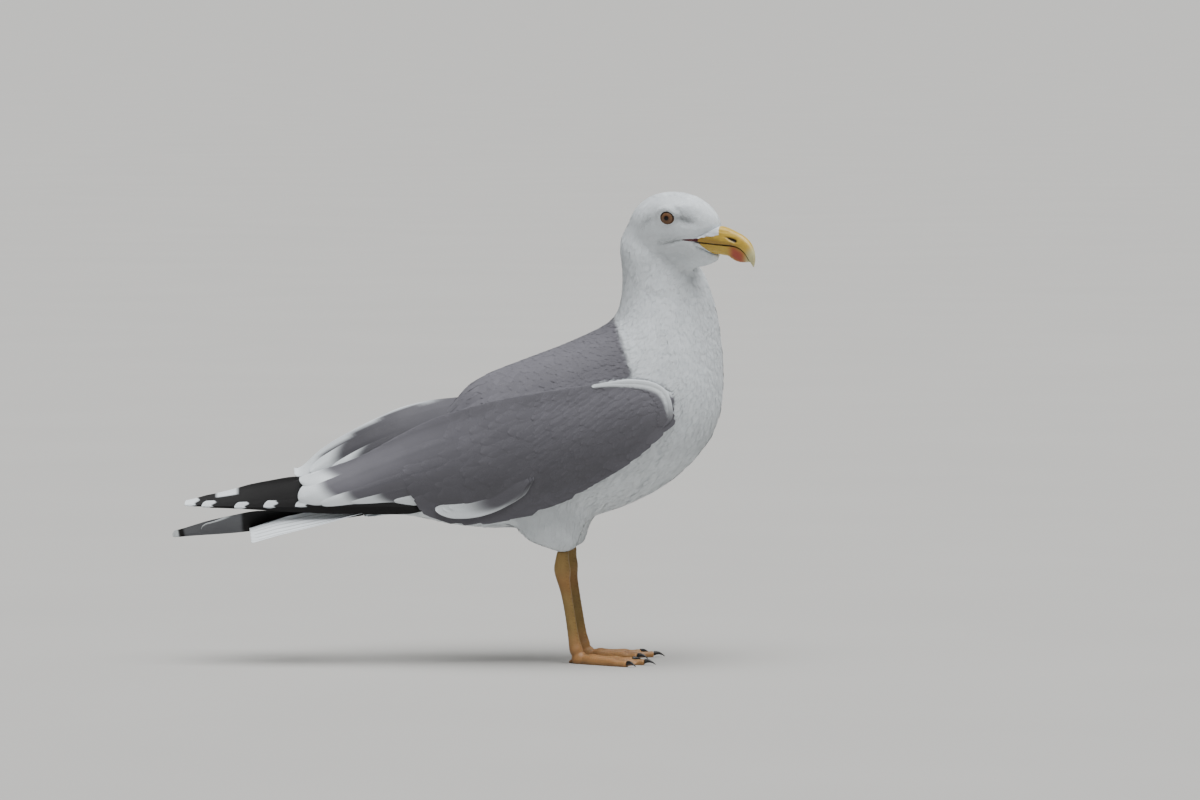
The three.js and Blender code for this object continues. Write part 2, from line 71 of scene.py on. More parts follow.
def unit(vectors):
    return vectors / np.maximum(np.linalg.norm(vectors, axis=-1, keepdims=True), 1e-12)


def mix(a, b, share):
    return a + (b - a) * share


def curveThrough(rows, count):  # smooth rows through a few, evenly by row number
    rows = np.asarray(rows, float)
    t = np.linspace(0, len(rows) - 1, count)
    i = np.minimum(t.astype(int), len(rows) - 2)
    f = (t - i)[:, None]
    a, b, c, d = (rows[np.clip(i + k, 0, len(rows) - 1)] for k in (-1, 0, 1, 2))
    bend, twist = 2 * a - 5 * b + 4 * c - d, 3 * b - a - 3 * c + d
    return 0.5 * (2 * b + (c - a) * f + bend * f ** 2 + twist * f ** 3)


def readAll(parts, what, width, kind=np.float32):  # one value of all points, edges, corners or faces
    values = np.zeros(len(parts) * width, kind)
    parts.foreach_get(what, values)
    return values.reshape(-1, width)


def meshPoints(mesh):
    return readAll(mesh.vertices, "co", 3).astype(float)


def meshNormals(mesh):
    return readAll(mesh.vertices, "normal", 3).astype(float)


def meshEdges(mesh):
    return readAll(mesh.edges, "vertices", 2, np.int32)


def meshFaces(mesh):
    mesh.calc_loop_triangles()
    return readAll(mesh.loop_triangles, "vertices", 3, np.int32)


def joinArrays(parts):  # points and faces of several bodies as one
    points, faces, count = [], [], 0
    for somePoints, someFaces in parts:
        points.append(somePoints)
        faces.append(someFaces + count)
        count += len(somePoints)
    return np.concatenate(points), np.concatenate(faces)


def nodeMesh(*names):  # points and triangles of CAD nodes, as arrays
    return joinArrays([(meshPoints(nodes[name].data), meshFaces(nodes[name].data)) for name in names])


def surfaceOf(points, faces):  # for finding the nearest place on a surface
    return BVHTree.FromPolygons(points.tolist(), faces.tolist())


def makeMesh(name, points, quads=(), triangles=()):
    quads = np.asarray(quads, np.int32).reshape(-1, 4)
    triangles = np.asarray(triangles, np.int32).reshape(-1, 3)
    mesh = bpy.data.meshes.new(name)
    mesh.vertices.add(len(points))
    mesh.vertices.foreach_set("co", np.asarray(points, np.float32).ravel())
    corners = np.concatenate([quads.ravel(), triangles.ravel()])
    mesh.loops.add(len(corners))
    mesh.loops.foreach_set("vertex_index", corners)
    sizes = np.concatenate([np.full(len(quads), 4), np.full(len(triangles), 3)])
    mesh.polygons.add(len(sizes))
    mesh.polygons.foreach_set("loop_start", np.concatenate([[0], np.cumsum(sizes)[:-1]]).astype(np.int32))
    mesh.update(calc_edges=True)
    mesh.shade_smooth()
    return mesh


def movePoints(mesh, points):
    mesh.vertices.foreach_set("co", points.astype(np.float32).ravel())
    mesh.update()


def addPiece(name, mesh, material, slot, replaces=()):
    piece = bpy.data.objects.new(name, mesh)
    bpy.context.scene.collection.objects.link(piece)
    mesh.materials.append(material)
    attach(piece, "root")
    if replaces:
        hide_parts(*replaces)
    return piece


def paint(mesh, colours, name="plumage"):  # one linear RGB colour for each vertex
    layer = mesh.color_attributes.new(name, "FLOAT_COLOR", "POINT")
    layer.data.foreach_set("color", np.c_[colours, np.ones(len(colours))].astype(np.float32).ravel())


def addMap(mesh, name, places):  # a UV map from one place for each vertex
    corners = readAll(mesh.loops, "vertex_index", 1, np.int32)[:, 0]
    layer = mesh.uv_layers.new(name=name)
    layer.data.foreach_set("uv", places[corners].astype(np.float32).ravel())


def gridFaces(count, rows, columns):  # quads of many like grids, one after another
    i, j = np.meshgrid(np.arange(rows - 1), np.arange(columns - 1), indexing="ij")
    corner = (i * columns + j).ravel()
    cell = np.stack([corner, corner + 1, corner + columns + 1, corner + columns], 1)
    return (np.arange(count)[:, None, None] * rows * columns + cell[None]).reshape(-1, 4)


def tubeFaces(rows, columns):  # one grid whose last column meets its first
    first = np.arange(rows - 1) * columns
    seam = np.stack([first + columns - 1, first, first + columns, first + 2 * columns - 1], 1)
    return np.concatenate([gridFaces(1, rows, columns), seam])


def halved(quads):  # two triangles from each quad
    return np.concatenate([quads[:, [0, 1, 2]], quads[:, [0, 2, 3]]])


def neighbourMean(values, edges, count):  # the mean of each vertex's neighbours
    total = np.stack([
        np.bincount(edges[:, 0], values[edges[:, 1], k], count) +
        np.bincount(edges[:, 1], values[edges[:, 0], k], count) for k in range(values.shape[1])], axis=1)
    degree = np.bincount(edges.ravel(), minlength=count)[:, None]
    return total / np.maximum(degree, 1)


def ball(middle, radii):  # a rounded lump that fills a joint between two solids
    turn, rise = np.meshgrid(np.linspace(0, 2 * math.pi, 17), np.linspace(0, math.pi, 9), indexing="ij")
    points = np.stack([np.cos(turn) * np.sin(rise), np.sin(turn) * np.sin(rise), np.cos(rise)], -1) * radii
    return points.reshape(-1, 3) + middle, halved(gridFaces(1, 17, 9))


def addNode(tree, kind, settings=None, links=None):  # a node with its settings and links
    node = tree.nodes.new("ShaderNode" + kind)
    for name, value in (settings or {}).items():
        if isinstance(name, int) or name in node.inputs:
            node.inputs[name].default_value = value
        else:
            setattr(node, name, value)
    for name, source in (links or {}).items():
        tree.links.new(source, node.inputs[name])
    return node


def newMaterial(name):  # with the tree and the solid coordinates that its patterns run through
    material = bpy.data.materials.new(name)
    material.use_nodes = True
    tree = material.node_tree
    tree.nodes.clear()
    return material, tree, addNode(tree, "TexCoord").outputs["Object"]


def perMetre(size):  # a texture's scale, from the real size of its pattern in millimetres
    return 1 / (size * mm)


def finishMaterial(tree, layer, shade, surface, height=None, relief=None):
    # The painted layer darkened by the pattern, under the surface's own gloss and relief.
    base = addNode(tree, "VertexColor", {"layer_name": layer})
    toned = addNode(tree, "VectorMath", {"operation": "SCALE"}, {0: base.outputs["Color"], "Scale": shade})
    links = {"Base Color": toned.outputs[0]}
    if relief:
        links["Normal"] = addNode(tree, "Bump", relief, {"Height": height}).outputs[0]
    body = addNode(tree, "BsdfPrincipled", surface, links)
    addNode(tree, "OutputMaterial", links={"Surface": body.outputs[0]})


def boxMiddle(node):
    low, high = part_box(node)
    return np.array((low + high) / 2)


# The head's own frame: forward along the bill, up, and out to the bird's left
head = {"nod": math.radians(12), "eyeAhead": 0.8 * mm}
eyeCentres = {side: boxMiddle(f"eye_{side}") for side in sides}
headOut = unit(eyeCentres["left"] - eyeCentres["right"])
headLevel = np.array([headOut[1], -headOut[0], 0])
headForward = headLevel * math.cos(head["nod"]) - np.array([0, 0, math.sin(head["nod"])])
headUp = np.cross(headForward, headOut)
headMiddle = (eyeCentres["left"] + eyeCentres["right"]) / 2 - headForward * head["eyeAhead"]
headAxes = np.stack([headForward, headOut, headUp])


def inHead(points):  # frame to head: forward, out to the left, up
    return (points - headMiddle) @ headAxes.T


def fromHead(places):
    return headMiddle + np.asarray(places) @ headAxes


plumageColours = {  # linear light, as the eye sees each in soft daylight
    "white": rgb("#e2e8ec"),
    "grey": rgb("#6b6a71"),
    "black": rgb("#0c0b0c"),
    "tongue": rgb("#73757a"),
}


bill = {  # two horny sheaths between the ridge or keel and the cutting edge
    "steps": 260, "around": 42, "parting": 0.3,
    # millimetres in the head's frame: ridge or keel forward and up, edge forward and up, half width
    "upper": [[26, -9.6, 19, -14.1, 12.9], [30.5, -6.6, 26, -13.6, 12.2], [35.5, -2.6, 31.5, -13, 10.9],
              [40.2, 1.7, 37, -12.4, 9.2], [45.6, 2.1, 42.5, -11.8, 7.9], [51, 1.7, 49, -10.8, 6.8],
              [56.6, 0.9, 55.5, -9.7, 5.9], [62.1, 0.1, 61, -9.2, 5.2], [67.8, -1.8, 66, -9.7, 4.6],
              [72.7, -4.6, 70, -11.5, 3.9], [76.3, -8.3, 72.8, -13.9, 3.1], [78.7, -12.6, 75, -16.6, 2.2],
              [79.8, -17.2, 77.2, -19, 1.3], [79.6, -21.5, 79.2, -21.4, 0.35]],
    "lower": [[24, -16, 20, -14.4, 11.8], [30, -18.2, 27, -13.9, 11.4], [34.5, -19.6, 32, -13.4, 10.2],
              [39.7, -20.3, 38, -12.6, 8.4], [46.2, -19.4, 45, -11.8, 6.9], [53.8, -18.7, 52, -10.8, 5.8],
              [58, -20.0, 57, -9.9, 5.1], [62, -20.8, 61.5, -9.5, 4.5], [66, -20.7, 65.5, -10, 4.0],
              [70, -19.9, 69, -11.5, 3.3], [73, -19, 71.8, -13.7, 2.5], [75.5, -18.5, 74, -16.4, 1.6],
              [77, -18.7, 76.3, -18.3, 0.5]],
    "nostril": {"at": (57.2, -4.9), "long": 5.0, "high": 1.15, "slope": -0.12, "deep": 1.9},
    "ridge": {"at": (50, -7.3), "slope": 0.03, "high": 0.8, "rise": 0.25},
    "folds": 0.09,
}
featherLine = {  # up, and how far forward the feathers reach there, in the head's frame
    "upper": [[-13.5, -9.5, -5.6, -3.8, 1, 4], [27.6, 28.1, 41.1, 45.2, 42.4, 38]],
    "lower": [[-20.6, -19, -17.4, -13.4], [42, 38.5, 35.5, 28.9]],
}
billColours = {
    "horn": rgb("#c4a33f"),
    "shaded": rgb("#a2802c"),
    "tip": rgb("#c3bd8c"),
    "red": rgb("#a8392b"),
    # hollow: painted shade inside the nostril
    "hollow": rgb("#1e110b"),
    "mouth": rgb("#4a2029"),
    "lip": rgb("#b98a86"),
}
billMarks = {  # millimetres in the head's frame; painted shade and ivory fade in or out between the two
    "spot": {"at": (64, -15.6), "long": 7.2, "high": 5.4, "slope": -0.25, "upper": 0.35, "lower": 0.95},
    "ivory": (71, 78.5), "paintedShadeHigh": (-9.5, -6), "paintedShadeUpper": (58, 70), "paintedShadeLower": (30, 50),
}


def billGrid(rows, away):  # rings from one edge over the ridge or keel to the other, then along the mouth
    line = curveThrough(rows, bill["steps"])
    turn = np.linspace(-1, 1, 2 * bill["around"] + 1) * math.pi / 2
    share = (1 - np.cos(turn) ** 0.9)[None, :]
    side = (np.sign(turn) * np.abs(np.sin(turn)) ** 0.8)[None, :] * line[:, 4:5]
    outer = np.stack([mix(line[:, :1], line[:, 2:3], share), side,
                      mix(line[:, 1:2], line[:, 3:4] + away * bill["parting"] / 2, share)], -1)
    inward = np.array([0.7, 0.0, -0.7])[None, :, None]
    hollow = outer[:, -1:] * [1, 0, 1] + inward * outer[:, -1:] * [0, 1, 0]
    hollow[..., 2] += away * np.minimum(1.6, line[:, 4:5] * 0.4)
    return np.concatenate([outer, hollow], 1)


def inNostril(places):
    slot = bill["nostril"]
    ahead = places[..., 0] - slot["at"][0]
    up = places[..., 2] - slot["at"][1] - slot["slope"] * ahead
    wide = slot["high"] * (1 + 0.09 * ahead)
    return np.exp(-((ahead / slot["long"]) ** 4 + (up / np.maximum(wide, 0.4)) ** 2))


def billShape(grid, away):
    shaped = grid.copy()
    outwards = np.sign(grid[..., 1])
    forward, up = grid[..., 0], grid[..., 2]
    folds = np.sin(1.9 * up + 0.5 * np.sin(0.35 * forward)) + 0.6 * np.sin(3.1 * up - 0.5 * forward)
    shaped[..., 1] += outwards * bill["folds"] * folds * (1 - step(48, 62, forward))
    if away > 0:  # the nostril, and a low ridge that runs on below it
        shaped[..., 1] -= outwards * bill["nostril"]["deep"] * inNostril(grid)
        ridge = bill["ridge"]
        above = up - ridge["at"][1] - ridge["slope"] * (forward - ridge["at"][0])
        raised = hump(above, ridge["high"]) * step(38, 46, forward)
        shaped[..., 1] += outwards * ridge["rise"] * raised * (1 - step(60, 68, forward))
    return shaped


def billPaint(grid, away):
    forward, up = grid[..., 0], grid[..., 2]
    colour = billColours["horn"] * np.ones(grid.shape)
    # painted shade: the upper mandible's side below the ridge and behind the red spot, the lower one towards
    # its base
    if away > 0:
        paintedShade = (1 - step(*billMarks["paintedShadeHigh"], up)) * (1 - step(*billMarks["paintedShadeUpper"], forward))
    else:
        paintedShade = 0.35 * (1 - step(*billMarks["paintedShadeLower"], forward))
    colour = mix(colour, billColours["shaded"], paintedShade[..., None])
    colour = np.where(isFeathered(grid, away)[..., None], plumageColours["white"], colour)
    ivory = step(*billMarks["ivory"], forward + 0.35 * (-up - 8))
    colour = mix(colour, billColours["tip"], ivory[..., None])
    spot = billMarks["spot"]
    ahead = forward - spot["at"][0]
    above = up - spot["at"][1] - spot["slope"] * ahead
    red = np.exp(-((ahead / spot["long"]) ** 4 + (above / spot["high"]) ** 4))
    red = red * spot["upper" if away > 0 else "lower"]
    colour = mix(colour, billColours["red"], red[..., None])
    # painted shade in the nostril's hollow
    if away > 0:
        dark = step(0.2, 0.75, inNostril(grid))
        colour = mix(colour, billColours["hollow"], dark[..., None])
    colour[:, 2 * bill["around"] + 1:] = billColours["mouth"]
    # the cutting edges painted darker: painted shade in the seam between the mandibles
    colour[:, [0, 2 * bill["around"]]] *= 0.55
    return colour


def isFeathered(grid, away):  # where the face's feathers run out over the horn
    line = featherLine["upper" if away > 0 else "lower"]
    return grid[..., 0] < np.interp(grid[..., 2], line[0], line[1])


def hornMaterial(name, roughness, grain):
    # Horn, grown and worn smooth: cloudy growth and fine lines under a soft waxy gloss.
    material, tree, solid = newMaterial(name)
    cloud = addNode(tree, "TexNoise", {"Scale": perMetre(6.25), "Detail": 5.0, "Roughness": 0.65},
                    {"Vector": solid})
    fine = addNode(tree, "TexNoise", {"Scale": perMetre(grain), "Detail": 3.0}, {"Vector": solid})
    shade = addNode(tree, "MapRange", {"From Min": 0.3, "From Max": 0.7, "To Min": 0.84, "To Max": 1.08},
                    {"Value": cloud.outputs["Fac"]})
    surface = {"Roughness": roughness, "IOR": 1.54, "Subsurface Weight": 0.12, "Subsurface Scale": 1.5 * mm,
               "Subsurface Radius": (1.0, 0.6, 0.3)}
    finishMaterial(tree, "horn", shade.outputs[0], surface, fine.outputs["Fac"],
                   {"Strength": 0.25, "Distance": 0.2 * mm})
    return material


billHorn = hornMaterial("billHorn", 0.38, 1.111)


def gridPiece(name, grid, colours, material, slot, replaces, wrap=True):
    rows, columns = grid.shape[:2]
    faces = tubeFaces(rows, columns) if wrap else gridFaces(1, rows, columns)
    mesh = makeMesh(name, grid.reshape(-1, 3), faces)
    shape = bmesh.new()
    shape.from_mesh(mesh)
    bmesh.ops.holes_fill(shape, edges=shape.edges, sides=0)
    bmesh.ops.recalc_face_normals(shape, faces=shape.faces)
    shape.to_mesh(mesh)
    shape.free()
    mesh.shade_smooth()
    paint(mesh, np.clip(colours.reshape(-1, 3), 0, 1), "horn")
    places = np.stack(np.meshgrid(np.linspace(0, 1, rows), np.linspace(0, 1, columns), indexing="ij"), -1)
    addMap(mesh, "OFBake", places.reshape(-1, 2))
    return addPiece(name, mesh, material, slot, replaces)


hornSurface = []
hornRoots = []
for part, away in (("upper", 1), ("lower", -1)):
    grid = billGrid(bill[part], away)
    shaped = fromHead(billShape(grid, away) * mm)
    gridPiece(f"bill_{part}_horn", shaped, billPaint(grid, away), billHorn, "bill_horn", [f"bill_{part}"])
    outer = gridFaces(1, *grid.shape[:2])
    outer = outer[(outer % grid.shape[1]).max(1) <= 2 * bill["around"]]
    flat, feathered = shaped.reshape(-1, 3), isFeathered(grid, away).ravel()
    triangles = halved(outer)
    hornSurface.append((flat, triangles))
    hornRoots.append(flat[triangles[feathered[triangles].all(1)]])
print("bill")


# Sheets: the smooth outer face of each folded wing, of each bundle of primaries and of the tail
def sectionRange(points, faces, axis, value, across):  # the least and most of one axis where a plane cuts
    edges = np.concatenate([faces[:, [0, 1]], faces[:, [1, 2]], faces[:, [2, 0]]])
    edges = np.unique(np.sort(edges, 1), axis=0)
    a, b = points[edges[:, 0]], points[edges[:, 1]]
    cut = (a[:, axis] - value) * (b[:, axis] - value) < 0
    share = (value - a[cut, axis]) / (b[cut, axis] - a[cut, axis])
    found = a[cut, across] + share * (b[cut, across] - a[cut, across])
    return found.min(), found.max()


def makeSheet(node, outward, high, count=90, deep=15):
    # Sampled over x and, from the top down, over the axis named high, looking along outward.
    points, faces = nodeMesh(node)
    tree = surfaceOf(points, faces)
    low, top = points.min(0), points.max(0)
    xs = np.linspace(low[0] + 0.4 * mm, top[0] - 0.4 * mm, count)
    ranges = np.array([sectionRange(points, faces, 0, x, high) for x in xs])
    shares = np.linspace(0, 1, deep)
    out = np.zeros((count, deep))
    away = int(np.argmax(np.abs(outward)))
    for i, x in enumerate(xs):
        for j, share in enumerate(shares):
            place = np.zeros(3)
            place[0] = x
            place[high] = mix(ranges[i, 1], ranges[i, 0], 0.03 + 0.94 * share)
            place[away] = 0.5 * outward[away]
            hit = tree.ray_cast(place, -np.array(outward))[0]
            out[i, j] = hit[away] if hit is not None else np.nan
    for row in out:
        known = ~np.isnan(row)
        row[:] = np.interp(shares, shares[known], row[known]) if known.any() else np.nan
    known = ~np.isnan(out[:, 0])
    out = np.stack([np.interp(xs, xs[known], column[known]) for column in out.T], 1)
    for _ in range(6):
        out = smoothed(smoothed(out, 0), 1)
        ranges = smoothed(ranges, 0)
    return {"x": xs, "bottom": ranges[:, 0], "top": ranges[:, 1], "out": out, "outward": np.array(outward),
            "high": high, "away": away}


def smoothed(values, axis):
    last = values.shape[axis] - 1
    before = values.take([0, *range(last)], axis)
    after = values.take([*range(1, last + 1), last], axis)
    return (before + 2 * values + after) / 4


def onSheet(sheet, x, height, raised):  # places over the sheet, raised off it
    top, bottom = np.interp(x, sheet["x"], sheet["top"]), np.interp(x, sheet["x"], sheet["bottom"])
    share = np.clip((top - height) / (top - bottom), 0, 1)
    out = sheet["out"]
    count, deep = out.shape
    i = np.interp(x, sheet["x"], np.arange(count))
    j = share * (deep - 1)
    i0, j0 = np.minimum(i.astype(int), count - 2), np.minimum(j.astype(int), deep - 2)
    fi, fj = i - i0, j - j0
    away = (out[i0, j0] * (1 - fi) * (1 - fj) + out[i0 + 1, j0] * fi * (1 - fj)
            + out[i0, j0 + 1] * (1 - fi) * fj + out[i0 + 1, j0 + 1] * fi * fj)
    places = np.zeros(np.shape(x) + (3,))
    places[..., 0] = x
    places[..., sheet["high"]] = height
    places[..., sheet["away"]] = away + raised * sheet["outward"][sheet["away"]]
    return places


def heightAt(sheet, x, share):  # from the top edge, 0, to the bottom edge, 1
    return mix(np.interp(x, sheet["x"], sheet["top"]), np.interp(x, sheet["x"], sheet["bottom"]), share)


wingSheets = {name: makeSheet(f"wing_{name}", (0, side, 0), 2) for name, side in sides.items()}
primarySheets = {name: makeSheet(f"primaries_{name}", (0, side, 0), 2) for name, side in sides.items()}
tailSheet = makeSheet("tail", (0, 0, 1), 1)
print("sheets of the wings, primaries and tail")


skinSizes = {  # one surface through the flesh, inside the solids by the depth of the coat
    "voxel": 1.7 * mm,
    "rounding": 26,  # passes that melt the flat facets together
    "thighMerge": 14 * mm,
    "thighRounding": 160,
    "wingEnd": -12 * mm,  # behind this a folded wing is feathers alone
    "bodyDepth": 1.6 * mm,
    "headDepth": 0.9 * mm,
    "faceDepth": 0.5 * mm,
    "wingDepth": 1.7 * mm,
    "shin": np.array([9, 8.5, 8]) * mm,  # the feathered end of the shin
    "finer": (15 * mm, 12.5 * mm),  # within these of an eye the faces are halved
}
fleshNodes = ["trunk", "mantle", "neck", "head", "thigh_right", "thigh_left"]


def wingFlesh(name):  # the wing as far back as the arm reaches, closed at the cut
    shape = bmesh.new()
    shape.from_mesh(nodes[name].data)
    bmesh.ops.remove_doubles(shape, verts=shape.verts, dist=1e-6)
    everything = shape.verts[:] + shape.edges[:] + shape.faces[:]
    cut = bmesh.ops.bisect_plane(shape, geom=everything, plane_co=(skinSizes["wingEnd"], 0, 0),
                                 plane_no=(1, 0, 0), clear_inner=True)
    rim = [part for part in cut["geom_cut"] if isinstance(part, bmesh.types.BMEdge)]
    bmesh.ops.holes_fill(shape, edges=rim, sides=0)
    bmesh.ops.triangulate(shape, faces=shape.faces)
    shape.verts.index_update()
    points = np.array([v.co for v in shape.verts])
    faces = np.array([[v.index for v in f.verts] for f in shape.faces])
    shape.free()
    return points, faces


def remeshed(points, faces, voxel):  # one closed skin round overlapping or touching solids
    holder = bpy.data.objects.new("holder", makeMesh("holder", points, triangles=faces))
    bpy.context.scene.collection.objects.link(holder)
    change = holder.modifiers.new("remesh", "REMESH")
    change.mode = "VOXEL"
    change.voxel_size = voxel
    mesh = bpy.data.meshes.new_from_object(holder.evaluated_get(bpy.context.evaluated_depsgraph_get()))
    bpy.data.objects.remove(holder)
    shape = bmesh.new()
    shape.from_mesh(mesh)
    outside = largestShell(shape)
    bmesh.ops.delete(shape, geom=[v for v in shape.verts if v not in outside], context="VERTS")
    shape.to_mesh(mesh)
    shape.free()
    return mesh


def largestShell(shape):
    left, best = set(shape.verts), set()
    while left:
        shell, border = set(), [left.pop()]
        while border:
            vertex = border.pop()
            shell.add(vertex)
            for edge in vertex.link_edges:
                other = edge.other_vert(vertex)
                if other in left:
                    left.discard(other)
                    border.append(other)
        best = shell if len(shell) > len(best) else best
    return best


def melted(mesh, passes):  # its points, drawn together until the flat facets are gone
    points, edges = meshPoints(mesh), meshEdges(mesh)
    for _ in range(passes):
        points = mix(points, neighbourMean(points, edges, len(points)), 0.5)
    return points


def refineRoundEyes(mesh):  # smaller faces where the lids are shaped
    for reach in skinSizes["finer"]:
        shape = bmesh.new()
        shape.from_mesh(mesh)
        near = [f for f in shape.faces if min(
            (f.calc_center_median() - Vector(c)).length for c in eyeCentres.values()) < reach]
        edges = list({e for f in near for e in f.edges})
        bmesh.ops.subdivide_edges(shape, edges=edges, cuts=1, use_grid_fill=True)
        shape.to_mesh(mesh)
        shape.free()


eyeTilt = math.radians(20)  # how far each eye looks ahead of straight out


def eyeAxes(side):  # out along the gaze, ahead, up, for one eye
    sign = sides[side]
    out = headOut * sign * math.cos(eyeTilt) + headForward * math.sin(eyeTilt)
    ahead = unit(headForward - out * (headForward @ out))
    return out, ahead, headUp


# Soft forms of the face, in millimetres in the head's frame: each lies along a level that slopes forward,
# with its half height, its middle and half length, how far it is raised and how much painted shade it
# carries: the brow's shadow ahead of and behind the eye, and shade in the gape's crease and under cheek and
# jaw.
faceForms = {
    "brow": {"level": 8.5, "slope": 0.1, "high": 3.2, "at": 4, "long": 13, "rise": 1.7, "paintedShade": 0},
    "lores": {"level": 1.7, "slope": -0.06, "high": 3.2, "at": 16, "long": 8.5, "rise": -1.7, "paintedShade": 0.55},
    "behindEye": {"level": -1.5, "slope": 0.2, "high": 3, "at": -15, "long": 8, "rise": -0.9, "paintedShade": 0.48},
    "crease": {"level": -21.23, "slope": 0.42, "high": 1.5, "at": 10, "long": 7, "rise": -2, "paintedShade": 0.42},
    "cheek": {"level": -16, "slope": 0, "high": 8, "at": 10, "long": 12, "rise": 1.2, "paintedShade": 0},
    "cheekShade": {"level": -9, "slope": 0, "high": 9, "at": 10, "long": 12, "rise": 0, "paintedShade": 0.12},
    "jaw": {"level": -29, "slope": 0.12, "high": 5, "at": 14, "long": 20, "rise": 0, "paintedShade": 0.16},
}


def faceSum(forward, up, what):  # the rise or the painted shade of all the forms together
    total = 0
    for form in faceForms.values():
        level = form["level"] + form["slope"] * forward
        total = total + form[what] * hump(up - level, form["high"]) * hump(forward - form["at"], form["long"])
    return total


eyeRadius = 6.8 * mm
lids = {  # half the opening's length and height and the rim's rise; the rest as shares of the opening
    "long": 5.0 * mm, "high": 4.2 * mm, "rise": 0.35 * mm, "inner": 0.97, "crest": 1.27, "crestHalf": 0.15,
    "fade": (1.35, 2.5), "reach": 2.6,
}


def headFolds(points, normals):  # the face's soft forms, and the lids drawn over the eyeballs
    place = inHead(points) / mm
    forward, out, up = place.T
    onHead = step(-30, -20, forward) * (np.abs(out) < 40)
    rise = faceSum(forward, up, "rise") * mm * step(3, 9, np.abs(out)) * onHead
    moved = points + normals * rise[:, None]
    for side in sides:
        outward, ahead, high = eyeAxes(side)
        off = moved - eyeCentres[side]
        depth, a, h = off @ outward, off @ ahead, off @ high
        ring = np.sqrt((a / lids["long"]) ** 2 + (h / lids["high"]) ** 2)
        near = (depth > 0) & (ring < lids["reach"])
        eyeball = np.sqrt(np.maximum(eyeRadius ** 2 - a ** 2 - h ** 2, 0))
        socket = eyeball - (lids["inner"] - ring) * 5 * mm  # slopes in behind the eyeball
        fromGaze = (a ** 2 + h ** 2) / np.maximum(ring, 0.1) ** 2
        edge = np.sqrt(np.maximum(eyeRadius ** 2 - fromGaze, 0))
        rim = edge + lids["rise"] * hump(ring - lids["crest"], lids["crestHalf"]) - 0.1 * mm
        blend = 1 - step(*lids["fade"], ring)
        goal = np.where(ring < lids["inner"], socket, rim)
        moved += np.where(near, mix(depth, goal, blend) - depth, 0)[:, None] * outward
    return moved


def mergeThighs(points, edges):  # the thighs' feathers run into the belly's without a fold
    low, high = np.array(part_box("thigh_right")[0]), np.array(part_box("thigh_left")[1])
    reach = skinSizes["thighMerge"]
    inside = np.all((points > low - reach) & (points < high + reach), axis=1)
    rise = step(mix(low[2], high[2], 0.1), mix(low[2], high[2], 0.45), points[:, 2])
    edge = step(0, reach, np.minimum(points - low + reach, high + reach - points).min(1))
    share = (inside * rise * edge)[:, None] * 0.5
    local = edges[inside[edges].all(1)]
    for _ in range(skinSizes["thighRounding"]):
        points = np.where(share > 0, mix(points, neighbourMean(points, local, len(points)), share), points)
    return points


def makeSkin():
    eyes = [f"eye_{side}" for side in sides]  # they fill the sockets, so that the lids close over them
    solids = [nodeMesh(*fleshNodes, *eyes), wingFlesh("wing_right"), wingFlesh("wing_left")]
    for side in sides:  # the feathered end of each shin
        points = nodeMesh(f"leg_{side}")[0]
        top = points[points[:, 2] > points[:, 2].max() - 1 * mm].mean(0)
        solids.append(ball(top + [0, 0, 5 * mm], skinSizes["shin"]))
    mesh = remeshed(*joinArrays(solids), skinSizes["voxel"])
    refineRoundEyes(mesh)
    movePoints(mesh, mergeThighs(melted(mesh, skinSizes["rounding"]), meshEdges(mesh)))
    points, normals = meshPoints(mesh), meshNormals(mesh)
    forward, out, up = (inHead(points) / mm).T
    onFace = step(8, 30, forward) * (up < 30) * (np.abs(out) < 30)
    onHead = step(-45, -25, forward) * (np.linalg.norm(points - headMiddle, axis=1) < 60 * mm)
    depth = mix(skinSizes["bodyDepth"], skinSizes["headDepth"], onHead)
    depth = mix(depth, skinSizes["faceDepth"], onFace)
    depth = np.where(nearWing(points), skinSizes["wingDepth"], depth)
    points = headFolds(points - normals * depth[:, None], normals)
    movePoints(mesh, points)
    return mesh


wingSurfaces = [surfaceOf(*nodeMesh(f"wing_{side}")) for side in sides]


def nearWing(points):
    found = [[tree.find_nearest(p, 3 * mm)[0] is not None for p in points] for tree in wingSurfaces]
    return np.any(found, axis=0)


trunkLow, trunkHigh = (np.array(corner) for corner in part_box("trunk"))
billRoot = fromHead([52 * mm, 0, -8 * mm])  # the face's feathers lie away from this point inside the bill
spine = np.array([  # from the back of the head down the neck and along the body to the tail
    fromHead([-18 * mm, 0, -6 * mm]),
    boxMiddle("neck") + [4 * mm, 0, 10 * mm],
    [trunkHigh[0] - 62 * mm, boxMiddle("trunk")[1], trunkHigh[2] - 62 * mm],
    boxMiddle("trunk") + [4 * mm, 0, 0],
    [trunkLow[0] + 30 * mm, boxMiddle("trunk")[1], trunkLow[2] + 28 * mm],
])


def besideSpine(points):  # the lengths of the spine, the points off each one's start, and how far along
    along = np.diff(spine, axis=0)
    off = points[:, None] - spine[:-1]
    return along, off, np.sum(off * along, -1) / np.sum(along ** 2, -1)


featherLie = {"thigh": [-0.12, 0, -1], "faceFades": (42 * mm, 88 * mm), "nearest": 5 * mm, "falloff": 5}


def lieOfFeathers(points):  # the direction towards the feather tips, before it is laid on the skin
    along, off, share = besideSpine(points)
    share = np.clip(share, 0, 1)
    away = np.linalg.norm(off - share[..., None] * along, axis=-1)
    weight = 1 / np.maximum(away, featherLie["nearest"]) ** featherLie["falloff"]
    flow = unit(np.sum(unit(along) * weight[..., None], axis=1))
    fromBill = points - billRoot
    onFace = 1 - step(*featherLie["faceFades"], np.linalg.norm(fromBill, axis=1))
    return unit(mix(flow, unit(fromBill), onFace[:, None]))


